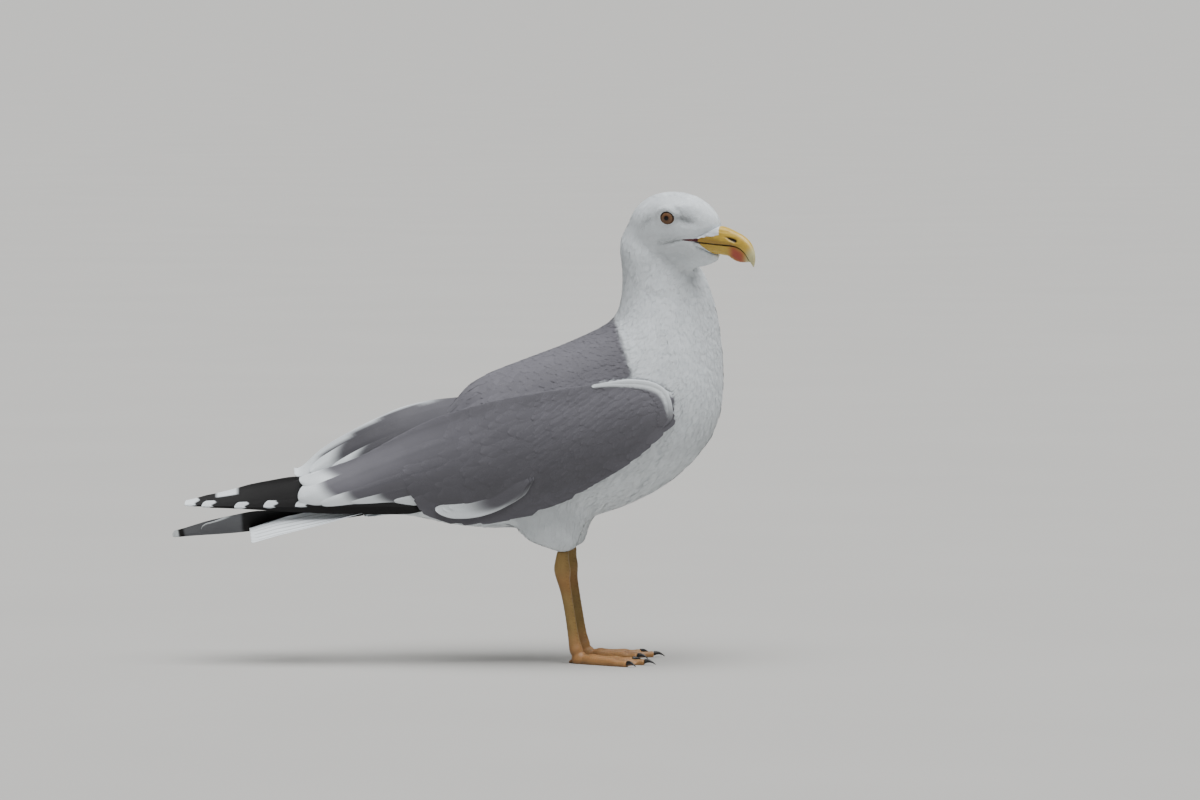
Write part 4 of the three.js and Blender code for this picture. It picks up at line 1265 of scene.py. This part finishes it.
tertials = {
    "right": [
        [6, 195, -126.8, 141.6, 2, 10, 14, -0.2],
        [9.8, 181, -127.5, 127.5, 1, 14, 15, -0.6],
        [13.6, 165.8, -109.6, 124.4, 0, 14, 13, -1.0],
        [21.5, 151.7, -86, 126, 0, 13, 10, -1.4],
        [29, 142, -52.6, 126.8, 0, 12, 8, -1.8],
    ],
    "left": [
        [10, 205, -126.8, 146, 5, 12, 14, -0.2],
        [12, 190, -127.5, 137, 3, 14, 12, -0.6],
        [14, 172, -109.6, 132, 1, 14, 11, -1.0],
        [21.5, 156, -86, 129, 0, 13, 9, -1.4],
        [29, 145, -52.6, 128, 0, 12, 8, -1.8],
    ],
}
secondaries = [  # a band of pale tips that curves up over the lower edge of the wing
    [56, 147, -10, 123.5, -9, 8, 6, -0.6],
    [54, 146, -15, 122, -9.5, 8, 6, -0.2],
    [52, 145, -20.5, 120.5, -9.5, 8, 6.5, 0.2],
]


paleTips = {"tertial": (21, 6), "secondary": (30, 14), "back": (22, 8)}  # how long, and how soft the border


def tertialColours(number, fromTip, spread, flat):
    fringe = step(0.8, 1, np.abs(spread)) * (1 - step(40, 90, fromTip))
    # painted shade: the tertials darker than the grey, and each lower one in the stack darker still
    tone = (1 + 0.25 * fringe) * (1 - 0.1 * hump(spread, 0.06)) * (0.9 - 0.04 * number)
    return paleTip(shaded(plumageColours["grey"], tone), fromTip, spread, *paleTips["tertial"])


def secondaryColours(number, fromTip, spread, flat):
    edge = step(-0.5, -0.95, spread) * (1 - step(46, 74, fromTip))
    # painted shade: low on the wing, the secondaries are painted a quarter darker than the grey
    colour = shaded(plumageColours["grey"], 0.75 * np.ones_like(fromTip))
    colour = whitened(colour, 0.45 * edge)
    return paleTip(colour, fromTip, spread, *paleTips["secondary"])


for side, sheet in wingSheets.items():
    makeBlades(f"tertials_{side}", sheet, tertials[side], shapes["tertial"], tertialColours, "grey_plumage")
    makeBlades(f"secondaries_{side}", sheet, secondaries, shapes["secondary"], secondaryColours,
               "grey_plumage")


# The inner feathers of the far wing close over the back, between the two wings' upper edges.
def roofSheet():
    near, far = wingSheets["right"], wingSheets["left"]
    xs = np.linspace(far["x"][0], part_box("wing_left")[1][0] - 140 * mm, 60)
    top = heightAt(far, xs, 0.0) + 0.3 * mm
    bottom = np.minimum(heightAt(near, xs, 0.0) - 4 * mm, top - 6 * mm)
    farSide = np.interp(xs, far["x"], far["out"][:, 0]) - 1 * mm
    nearSide = np.interp(xs, near["x"], near["out"][:, 0]) + 3 * mm
    out = mix(farSide[:, None], nearSide[:, None], np.linspace(0, 1, 9)[None])
    return {"x": xs, "top": top, "bottom": bottom, "out": out, "outward": np.array([0, -1, 0]),
            "high": 2, "away": 1}


backFeathers = [
    [4, 203, -131, 146, 9, 16, 10, 0.2],
    [6, 196, -119, 148, 7, 10, 9, 0.8],
    [4, 187, -104, 146, 5, 9, 9, 1.4],
    [0, 175, -84, 142, 4, 8, 9, 2.0],
]


def backColours(number, fromTip, spread, flat):
    wide = mix(0.4, 4.2, step(-60, -108, flat[..., 0]))
    fringe = step(wide + 1.2, wide, topGap(roofTop, flat)) * step(-12, -40, flat[..., 0])
    # painted shade: the far wing's feathers, deep between the two wings, painted much darker, each lower one
    # more so
    tone = (1 + 0.2 * step(0.8, 1, np.abs(spread))) * (0.62 - 0.07 * number)
    colour = whitened(shaded(plumageColours["grey"], tone), 0.85 * fringe)
    return paleTip(colour, fromTip, -spread, *paleTips["back"])


roofTop = roofSheet()
makeBlades("backFeathers", roofTop, backFeathers, shapes["tertial"], backColours, "grey_plumage")

primaries = {
    "right": [
        [-22, 123, -217.4, 121.5, 0, 30, 5.5, -1.2],
        [-22, 123, -204, 120.6, 0, 26, 5.5, -0.9],
        [-22, 122.5, -178, 120.2, 0, 25, 5.5, -0.6],
        [-22, 122.5, -155, 121, 0, 25, 5.5, -0.3],
        [-22, 122.5, -130, 122, 0, 24, 5, 0],
    ],
    "left": [
        [-60, 118, -226.5, 97.5, 0, 18, 4, 0.4],
        [-60, 119, -204, 102, 0, 18, 5, -0.4],
        [-60, 120, -178, 107, 0, 16, 4, 0.0],
        [-60, 120, -152, 111, 0, 16, 4, 0.4],
    ],
}


primaryMarks = {  # where each mark fades: millimetres from the tip, then shares of the half width
    "spot": (8.2, 9.4), "mirrorFrom": (24, 26), "mirrorTo": (40, 43), "mirrorSide": (0.6, 0.68),
}
innerMarks = {  # millimetres from the tip, or along X, then shares of the half width
    "tongue": (-173, -171), "tongueTip": (8.5, 10.5), "white": (4.6, 5.6),
    "longTongue": (-174, -171), "longWhite": (-188, -178), "longWhiteSide": (0.78, 0.9),
}


def primaryColours(number, fromTip, spread, flat):  # black, a white spot on each tip, one long mirror
    tone = 1 + 0.35 * step(0.9, 1, np.abs(spread))
    colour = shaded(plumageColours["black"], tone)
    marks = primaryMarks
    spot = 1 - step(*marks["spot"], fromTip - 2.6 * spread + 1.2 * np.sin(spread * 9))
    if number == 0:
        mirror = step(*marks["mirrorFrom"], fromTip) * (1 - step(*marks["mirrorTo"], fromTip))
        spot = np.maximum(spot, mirror * step(*marks["mirrorSide"], spread))
    return whitened(colour, spot)


def innerPrimaryColours(number, fromTip, spread, flat):  # from inside: a grey tongue, and white tips
    colour = shaded(plumageColours["black"], np.ones_like(fromTip))
    x, marks = flat[..., 0], innerMarks
    tongue = (1 - step(*marks["tongue"], x)) * step(*marks["tongueTip"], fromTip)
    white = 1 - step(*marks["white"], fromTip)
    if number == 1:
        tongue = 1 - step(*marks["longTongue"], x)
        white = step(*marks["longWhiteSide"], spread) * (1 - step(*marks["longWhite"], x))
    colour = mix(colour, plumageColours["tongue"] * 0.8, tongue[..., None])
    return whitened(colour, white)


makeBlades("primaryFeathers_right", primarySheets["right"], primaries["right"], shapes["primary"],
           primaryColours, "black_primaries", ["primaries_right"])
makeBlades("primaryFeathers_left", primarySheets["left"], primaries["left"], shapes["innerPrimary"],
           innerPrimaryColours, "black_primaries", ["primaries_left"])

# Millimetres; each pair lies a little lower and ends a little further forward than the one inside it.
tailFan = {"pairs": 6, "rootX": -62, "tipX": -166.4, "rootApart": 2.6, "tipApart": 5.0, "wide": 9.5,
           "layer": -0.3, "drop": 0.45, "shorter": 0.5}


def tailRows():
    rows = []
    middle = (tailSheet["top"][0] + tailSheet["bottom"][0]) / 2 / mm
    for pair in range(tailFan["pairs"]):
        for way in (-1, 1):
            root = middle + way * (pair + 0.5) * tailFan["rootApart"]
            tip = middle + way * (pair + 0.5) * tailFan["tipApart"]
            end = tailFan["tipX"] + tailFan["shorter"] * pair
            layer = tailFan["layer"] - tailFan["drop"] * pair
            rows.append([tailFan["rootX"], root, end, tip, 0, tailFan["wide"], tailFan["wide"], layer])
    return rows


def tailColours(number, fromTip, spread, flat):
    # painted shade: darker along each feather's edges, where it overlaps the next
    tone = 1 - 0.45 * step(0.86, 1, np.abs(spread)) - 0.1 * hump(spread, 0.06)
    return shaded(plumageColours["white"], tone)


makeBlades("tailFeathers", tailSheet, tailRows(), shapes["tail"], tailColours, "white_plumage", ["tail"])


coverts = {  # rows of small feathers over the front of each wing, in millimetres
    "lesser": {"front": 164, "rear": 66, "apart": 4.4, "between": 4.6, "long": 11, "wide": 4.0,
               "layer": 0.1, "slant": 0},
    "median": {"front": 84, "rear": 14, "apart": 7.0, "between": 7.0, "long": 19, "wide": 6.2,
               "layer": 0.0, "slant": 8},
    "greater": {"front": 40, "rear": -22, "apart": 10.0, "between": 9.0, "long": 30, "wide": 8.0,
                "layer": -0.1, "slant": 40},
}
covertGrid = {  # painted shade lower down the wing, and white over the bend
    "rows": 7, "columns": 7, "droop": 0.05, "tone": 0.025, "fringe": 0.07, "high": 0.96, "low": 0.72,
    "lowAt": 70, "whiteFrom": (100, 118), "whiteHigh": (3.6, 2.2),
}


def covertRows(sheet, sizes):  # roots in staggered rows down the wing, each feather pointing along it
    rows, odd = [], 0
    x = sizes["front"]
    while x > sizes["rear"]:
        odd = 1 - odd
        high, low = heightAt(sheet, x * mm, 0.0) / mm, heightAt(sheet, x * mm, 1.0) / mm
        count = max(2, int((high - low) / sizes["between"]))
        for k in range(count + odd):
            share = np.clip((k + 0.5 - 0.5 * odd) / count, 0.015, 0.985)
            long = sizes["long"] * seeded.uniform(0.88, 1.12)
            rootX = x + seeded.normal(0, 0.1) * sizes["apart"] + sizes["slant"] * (share - 0.5)
            ends = np.clip([share, share + covertGrid["droop"]], 0, 0.97)
            root = heightAt(sheet, rootX * mm, ends[0]) / mm
            tip = heightAt(sheet, (rootX - long) * mm, ends[1]) / mm
            wide = sizes["wide"] * seeded.uniform(0.9, 1.1)
            layer = sizes["layer"] + seeded.uniform(-0.15, 0.15) - 0.7
            rows.append([rootX, root, rootX - long, tip, 0, wide, wide, layer])
        x -= sizes["apart"]
    return rows


def makeCoverts(side):
    sheet, sizes = wingSheets[side], covertGrid
    share, spread = np.linspace(0, 1, sizes["rows"]), np.linspace(-1, 1, sizes["columns"])
    feathers = [row for kind in coverts.values() for row in covertRows(sheet, kind)]

    def covertColours(number, fromTip, spread, flat):
        edge = np.maximum(step(4, 0, fromTip), step(0.7, 1, np.abs(spread)) * step(14, 5, fromTip))
        fromTop = topGap(sheet, flat)
        tone = (1 + seeded.normal(0, sizes["tone"])) * (1 + sizes["fringe"] * edge)
        # painted shade: darker the further below the wing's upper edge
        tone = tone * mix(sizes["high"], sizes["low"], step(0, sizes["lowAt"], fromTop))
        white = step(*sizes["whiteHigh"], fromTop) * step(*sizes["whiteFrom"], flat[..., 0])
        return whitened(shaded(plumageColours["grey"], tone), white)

    laid = list(layFeathers(feathers, sheet, shapes["covert"], share, spread, covertColours))
    faces = gridFaces(len(feathers), sizes["rows"], sizes["columns"])
    roots = np.array([feather[0][0, sizes["columns"] // 2] for feather in laid])
    addFeathers(f"coverts_{side}", facedOut(faces, laid[0][0], sheet["outward"]), laid, 0.6,
                patchPlaces(roots, gridPatch(share, spread)), "grey_plumage")


wingEdge = {"from": 102 * mm, "to": 150 * mm, "high": 2.2 * mm, "thick": 0.8 * mm, "inset": 1.4 * mm,
            "deep": 0.5 * mm, "steps": 240, "rounding": 260, "around": 18, "greyFrom": (0.6, 0.78)}


def makeWingEdge(side):  # the rolled leading edge of the wing, white along the bend
    sheet, sizes = wingSheets[side], wingEdge
    front = sheet["x"][-1]
    over, under = np.linspace(sizes["from"], front, 60), np.linspace(front, sizes["to"], 30)
    path = np.concatenate([np.stack([over, heightAt(sheet, over, 0.0) - sizes["inset"]], 1),
                           np.stack([under, heightAt(sheet, under, 1.0) + sizes["inset"]], 1)])
    path = curveThrough(path[::3], sizes["steps"])
    for _ in range(sizes["rounding"]):
        path[1:-1] = (path[:-2] + 2 * path[1:-1] + path[2:]) / 4
    along = unit(np.gradient(path, axis=0))
    spine = onSheet(sheet, path[:, 0], path[:, 1], np.full(len(path), -sizes["deep"]))
    aside = np.stack([along[:, 1], np.zeros(len(path)), -along[:, 0]], 1)
    share = np.linspace(0, 1, len(path))
    full = (step(0, 0.3, share) * (1 - step(0.72, 0.95, share)))[:, None, None]
    turn = np.linspace(0, 2 * math.pi, sizes["around"], endpoint=False)[None, :, None]
    ring = aside[:, None] * np.cos(turn) * sizes["high"] + sheet["outward"] * np.sin(turn) * sizes["thick"]
    points = spine[:, None] + ring * full
    rows, columns = points.shape[:2]
    faces = tubeFaces(rows, columns)[:, ::-sides[side]]
    mesh = makeMesh(f"wingEdge_{side}", points.reshape(-1, 3), faces)
    grey = np.repeat(step(*sizes["greyFrom"], share), columns)
    paint(mesh, markings(grey, points.reshape(-1, 3)))
    across = np.tile(np.arange(columns) / columns, rows)
    addMap(mesh, "OFBake", np.stack([np.repeat(share, columns), across], 1) * 0.98 + 0.01)
    addMap(mesh, "vane", np.stack([np.repeat(share * 90, columns), across * 9], 1))
    addPiece(f"wingEdge_{side}", mesh, vanePlumage, "white_plumage")
    return path / mm


marginals = {"every": 4, "long": 10, "half": 3.0, "lie": np.array([-0.97, -0.24]), "layer": -0.45}


def layMarginals(side, path):  # short feathers laid back over the rolled edge, white beside it
    sizes = marginals
    roots = path[3:200:sizes["every"]]

    def edgeColours(number, fromTip, spread, flat):
        gap = np.linalg.norm(flat[:, :, None] - path, axis=-1)
        share = gap.argmin(-1) / len(path)
        reach = 1.2 + 2.8 * step(0, 0.35, share) * (1 - step(0.6, 0.8, share))  # how wide the white is
        grey = np.maximum(step(0.5 * reach, 1.5 * reach, gap.min(-1)), step(*wingEdge["greyFrom"], share))
        return mix(plumageColours["white"], 0.93 * plumageColours["grey"], grey[..., None])

    feathers = []
    for number, root in enumerate(roots):
        share = number / (len(roots) - 1)
        full = mix(0.3, 1, step(0, 0.14, share)) * mix(1, 0.6, step(0.85, 1, share))
        tip = root + sizes["lie"] * sizes["long"] * full * (1 + 0.12 * math.sin(number * 2.4))
        half = sizes["half"] * full
        layer = sizes["layer"] - 0.5 * (1 - full) + 0.1 * (number % 2)
        feathers.append([*root, *tip, 0.3, half, half, layer])
    makeBlades(f"marginals_{side}", wingSheets[side], feathers, shapes["marginal"], edgeColours,
               "white_plumage")


for side in sides:
    makeCoverts(side)
    layMarginals(side, makeWingEdge(side))


# Eyes: a wet ball with iris and pupil, in millimetres, and a bare ring round the lids
eyeShape = {"rings": 60, "around": 96, "pupil": 1.85, "iris": 4.9, "bulge": 0.3}
lidProfile = {  # across the bare ring: shares of the opening, and how far it stands off the ball
    "out": [0.88, 0.96, 1.0, 1.05, 1.1, 1.16, 1.24, 1.34, 1.5],
    "rise": [-0.25, 0.1, 0.4, 0.52, 0.5, 0.3, -0.15, -0.9, -1.8],
}
eyeColours = {
    "pupil": rgb("#050405"),
    "inner": rgb("#644630"),
    "outer": rgb("#7d5d44"),
    "limbus": rgb("#1d120c"),
    "ringBrowShadow": rgb("#1c1210"),
    "ringLower": rgb("#5c4230"),
}


def eyeMaterial():
    # A moist eye: the fibres of the iris under a clear, glassy coat.
    material, tree, solid = newMaterial("moistEye")
    fibre = addNode(tree, "TexNoise", {"Scale": perMetre(0.7143), "Detail": 2.0}, {"Vector": solid})
    shade = addNode(tree, "MapRange", {"To Min": 0.8, "To Max": 1.15}, {"Value": fibre.outputs["Fac"]})
    finishMaterial(tree, "horn", shade.outputs[0], {
        "Roughness": 0.35, "Specular IOR Level": 0.15, "Coat Weight": 0.4, "Coat Roughness": 0.02,
        "Coat IOR": 1.38})
    return material


moistEye = eyeMaterial()


def makeEye(side):
    outward, ahead, high = eyeAxes(side)
    angle = np.linspace(0.001, math.pi - 0.001, eyeShape["rings"])[:, None]
    turn = np.linspace(0, 2 * math.pi, eyeShape["around"], endpoint=False)[None, :]
    radius = eyeRadius / mm + eyeShape["bulge"] * hump(angle, 0.55)
    flat = np.sin(angle) * radius
    places = (np.cos(angle) * radius * np.ones_like(turn))[..., None] * outward
    places = places + (flat * np.cos(turn))[..., None] * ahead + (flat * np.sin(turn))[..., None] * high
    fibres = 0.12 * np.sin(turn * 23 + 2 * np.sin(turn * 7)) + 0.08 * np.sin(turn * 41 + 1)
    iris = mix(eyeColours["inner"], eyeColours["outer"],
               (step(eyeShape["pupil"], eyeShape["iris"], flat) * np.ones_like(turn))[..., None])
    colour = iris * (1 + fibres * np.ones_like(flat))[..., None]
    dark = step(eyeShape["iris"] - 0.7, eyeShape["iris"] - 0.1, flat) * np.ones_like(turn)
    colour = mix(colour, eyeColours["limbus"], dark[..., None])
    pupil = (1 - step(eyeShape["pupil"] - 0.12, eyeShape["pupil"] + 0.12, flat)) * (angle < 1.5)
    colour = mix(colour, eyeColours["pupil"], (pupil * np.ones_like(turn))[..., None])
    gridPiece(f"eyeball_{side}", eyeCentres[side] + places * mm, colour, moistEye, "eye", [f"eye_{side}"])


def makeEyeRing(side):  # the bare orbital ring, which runs on under the feathers
    outward, ahead, high = eyeAxes(side)
    turn = np.linspace(0, 2 * math.pi, 97)[:, None]
    out, rise = np.array(lidProfile["out"]), np.array(lidProfile["rise"]) * mm
    a, h = lids["long"] * np.cos(turn), lids["high"] * np.sin(turn)
    depth = np.sqrt(eyeRadius ** 2 - a ** 2 - h ** 2) + rise
    grid = (a * out)[..., None] * ahead + (h * out)[..., None] * high + depth[..., None] * outward
    # the upper half painted dark: painted shadow of the brow
    upper = step(-0.2, 0.5, np.sin(turn))[..., None] * np.ones((1, len(out), 1))
    colour = mix(eyeColours["ringLower"], eyeColours["ringBrowShadow"], upper)
    # painted shade: the outer edge, under the feathers, is a darkened white
    colour = mix(colour, plumageColours["white"] * 0.6, step(1.2, 1.34, out)[None, :, None])
    gridPiece(f"orbitalRing_{side}", eyeCentres[side] + grid, colour, moistEye, "eye", [], wrap=False)


def makeGape(side):  # the bare dark corner of the mouth
    along, across = np.meshgrid(np.linspace(0, 1.06, 22), np.linspace(0, 1, 9), indexing="ij")
    corner, upper, lower = (np.array(gapeLine[key]) for key in ("corner", "upper", "lower"))
    forward = mix(corner[0], upper[0], along)
    up = mix(mix(corner[1] + 0.25, upper[1], along), mix(corner[1] - 0.25, lower[1], along), across)
    outside = headOut * sides[side]
    places = fromHead(np.stack([forward, np.zeros_like(up), up], -1) * mm)
    grid = np.zeros(places.shape)
    for i, row in enumerate(places):
        for j, place in enumerate(row):
            hit = coveredSurface.ray_cast(place + outside * 40 * mm, -outside)[0]
            hit = hit or coveredSurface.find_nearest(place + outside * 12 * mm)[0]
            grid[i, j] = np.array(hit) + outside * (0.25 - 0.5 * abs(across[i, j] - 0.5) ** 2) * mm
    lip = step(0.3, 0.5, np.abs(across - 0.5))
    colour = mix(billColours["mouth"], billColours["lip"], 0.3 * lip[..., None])
    gridPiece(f"gape_{side}", grid, colour, moistEye, "bill_horn", [], wrap=False)


for side in sides:
    makeEye(side)
    makeEyeRing(side)
for side in sides:
    makeGape(side)
print("eyes and gape")

# Legs and feet: the solids rounded and melted together, with scales raised on them
footSizes = {  # heights and spacings of scales in millimetres
    "voxel": 0.75 * mm, "rounding": 7, "roundedOff": 0.22 * mm, "knuckle": np.array([5.0, 4.6, 5.5]) * mm,
    "legFrom": 11, "legWhole": 15, "scuteLeg": 2.7, "scuteToe": 2.1, "scuteRise": 0.3 * mm,
    "jointHigh": 62, "jointHalf": 9, "webHigh": (2.4, 3.6), "toeHigh": (3.2, 4.4),
}
legColours = {
    "leg": rgb("#907541"),
    "joint": rgb("#9a6c38"),
    "foot": rgb("#a97c4c"),
    "web": rgb("#ad8452"),
    "crease": rgb("#6a4523"),
}


def scaledSkin():
    # Horny scaled skin: small many-sided scales with darker seams, hardly shiny.
    material, tree, solid = newMaterial("scaledLegSkin")
    scales = addNode(tree, "TexVoronoi", {"Scale": perMetre(1.0526), "feature": "DISTANCE_TO_EDGE"},
                     {"Vector": solid})
    cloud = addNode(tree, "TexNoise", {"Scale": perMetre(11.11), "Detail": 4.0, "Roughness": 0.6},
                    {"Vector": solid})
    edge = addNode(tree, "MapRange", {"From Max": 0.12, "To Min": 0.84, "To Max": 1.0},
                   {"Value": scales.outputs["Distance"]})
    patchy = addNode(tree, "MapRange", {"From Min": 0.3, "From Max": 0.7, "To Min": 0.8, "To Max": 1.12},
                     {"Value": cloud.outputs["Fac"]})
    both = addNode(tree, "Math", {"operation": "MULTIPLY"}, {0: edge.outputs[0], 1: patchy.outputs[0]})
    finishMaterial(tree, "horn", both.outputs[0], {
        "Roughness": 0.5, "Subsurface Weight": 0.1, "Subsurface Scale": 1.2 * mm},
        edge.outputs[0], {"Strength": 0.5, "Distance": 0.25 * mm})
    return material


scaledLeg = scaledSkin()
clawHorn = hornMaterial("clawHorn", 0.32, 0.6667)


def partPiece(name, points, normals, faces, colours, material, slot, replaces):
    used, again = np.unique(faces, return_inverse=True)
    mesh = makeMesh(name, points[used], triangles=again.reshape(-1, 3))
    mesh.normals_split_custom_set_from_vertices(normals[used].tolist())
    paint(mesh, np.clip(colours[used], 0, 1), "horn")
    low, high = points[used].min(0), points[used].max(0)
    addMap(mesh, "OFBake", ((points[used] - low) / (high - low))[:, [0, 2]] * 0.98 + 0.01)
    addPiece(name, mesh, material, slot, replaces)


def makeFoot(side):
    sizes = footSizes
    shank = nodeMesh(f"leg_{side}")
    lowest = shank[0][shank[0][:, 2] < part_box(f"leg_{side}")[0][2] + 1 * mm].mean(0)
    knuckle = ball(lowest, sizes["knuckle"])
    mesh = remeshed(*joinArrays([shank, nodeMesh(f"foot_{side}"), knuckle]), sizes["voxel"])
    points = melted(mesh, sizes["rounding"])
    movePoints(mesh, points)
    normals = meshNormals(mesh)
    points = points + normals * sizes["roundedOff"]
    points[:, 2] = np.maximum(points[:, 2], 0)
    ankle = boxMiddle(f"leg_{side}") * [0, 1, 0] + [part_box(f"leg_{side}")[1][0] - 4 * mm, 0, 0]
    reach = np.linalg.norm((points - ankle)[:, :2], axis=1) / mm
    height = points[:, 2] / mm
    onLeg = step(sizes["legFrom"], sizes["legWhole"], height)
    legBand = np.abs(np.sin(math.pi * (height + 0.6 * np.sin(points[:, 1] / mm)) / sizes["scuteLeg"]))
    toeBand = np.abs(np.sin(math.pi * reach / sizes["scuteToe"]))
    front = step(0.1, 0.6, normals[:, 0]) * onLeg
    above = step(0.2, 0.7, normals[:, 2]) * (1 - onLeg) * step(*sizes["toeHigh"], height)
    plate = legBand * front + toeBand * above
    points = points + normals * (np.minimum(plate, 0.6) * sizes["scuteRise"])[:, None]
    crease = (1 - step(0.1, 0.4, legBand)) * front + (1 - step(0.1, 0.4, toeBand)) * above
    joint = hump(height - sizes["jointHigh"], sizes["jointHalf"])
    colour = mix(legColours["foot"], legColours["leg"], step(10, 30, height)[:, None])
    colour = mix(colour, legColours["joint"], 0.7 * joint[:, None])
    web = (1 - step(*sizes["webHigh"], height)) * step(0.5, 0.9, normals[:, 2])
    colour = mix(colour, legColours["web"], 0.6 * web[:, None])
    colour = mix(colour, legColours["crease"], 0.5 * crease[:, None])
    movePoints(mesh, points)
    normals, faces = meshNormals(mesh), meshFaces(mesh)
    isLeg = points[faces][:, :, 2].mean(1) > sizes["legFrom"] * mm
    for part, own in (("leg", isLeg), ("foot", ~isLeg)):
        partPiece(f"{part}Skin_{side}", points, normals, faces[own], colour, scaledLeg, f"{part}_skin",
                  [f"{part}_{side}"])


clawSizes = {"voxel": 0.25 * mm, "rounding": 5}
clawColour = linear("#17130f")[0] * np.array([1.0, 0.92, 0.85])  # a warm black


def makeClaws(side):
    names = [f"claw_{side}_{toe}" for toe in ("inner", "middle", "outer")]
    parts = []
    for name in names:
        mesh = remeshed(*nodeMesh(name), clawSizes["voxel"])
        parts.append((melted(mesh, clawSizes["rounding"]), meshFaces(mesh)))
    points, faces = joinArrays(parts)
    mesh = makeMesh(f"claws_{side}", points, triangles=faces)
    paint(mesh, np.tile(clawColour, (len(points), 1)), "horn")
    addMap(mesh, "OFBake", (points[:, :2] - points.min(0)[:2]) / np.ptp(points, axis=0)[:2] * 0.98 + 0.01)
    addPiece(f"claws_{side}", mesh, clawHorn, "claw", names)


for side in sides:
    makeFoot(side)
    makeClaws(side)
print("legs, feet and claws")


def makeStage():
    # Matt painted board: pale, even, hardly any gloss. Sockets 6 and 7 of a colour mix are its two colours.
    material, tree, solid = newMaterial("paleMattBoard")
    grain = addNode(tree, "TexNoise", {"Scale": perMetre(333.3), "Detail": 2.0}, {"Vector": solid})
    tone = addNode(tree, "Mix", {"data_type": "RGBA", 6: linear("#a9a8a5"), 7: linear("#afaeab")},
                   {0: grain.outputs["Fac"]})
    surface = addNode(tree, "BsdfPrincipled", {"Roughness": 0.85}, {"Base Color": tone.outputs[2]})
    addNode(tree, "OutputMaterial", links={"Surface": surface.outputs[0]})
    reach = 3000  # metres, so that no edge of it shows
    corners = np.array([[-1, -1, 0], [1, -1, 0], [1, 1, 0], [-1, 1, 0]]) * reach
    floor = bpy.data.objects.new("floor", makeMesh("floor", corners, [[0, 1, 2, 3]]))
    floor.data.materials.append(material)
    bpy.context.scene.collection.objects.link(floor)


lights = {  # in degrees; the wide spread gives soft shadows
    "key": {"tilt": (8, 8, 0), "spread": 60, "strength": 5.8},
    "fill": {"tilt": (62, -35, 0), "spread": 90, "strength": 0.2},
}


def addLight(name, tilt, spread, strength):  # broad and even, as from a large soft panel far off
    lamp = bpy.data.lights.new(name, "SUN")
    lamp.energy = strength
    lamp.angle = math.radians(spread)
    holder = bpy.data.objects.new(name, lamp)
    holder.rotation_euler = [math.radians(angle) for angle in tilt]
    bpy.context.scene.collection.objects.link(holder)


def addSky():
    world = bpy.data.worlds.new("studio")
    world.use_nodes = True
    world.node_tree.nodes["Background"].inputs["Color"].default_value = linear("#e8ebee")
    world.node_tree.nodes["Background"].inputs["Strength"].default_value = 0.16
    bpy.context.scene.world = world


# Metres, and the camera's rise in degrees
view = {"distance": 6.0, "rise": 3.15, "fieldWide": 0.936, "aimAhead": 0.1073, "aimUp": 0.2042}


def addCamera():
    camera = bpy.data.cameras.new("camera")
    camera.sensor_width = 36
    camera.lens = camera.sensor_width * view["distance"] / view["fieldWide"]
    holder = bpy.data.objects.new("camera", camera)
    rise = math.radians(view["rise"])
    target = Vector((view["aimAhead"], 0, view["aimUp"]))
    back = Vector((0, -math.cos(rise), math.sin(rise)))
    holder.location = target + back * view["distance"]
    holder.rotation_euler = (-back).to_track_quat("-Z", "Y").to_euler()
    bpy.context.scene.collection.objects.link(holder)
    bpy.context.scene.camera = holder


makeStage()
for name, settings in lights.items():
    addLight(name, **settings)
addSky()
addCamera()
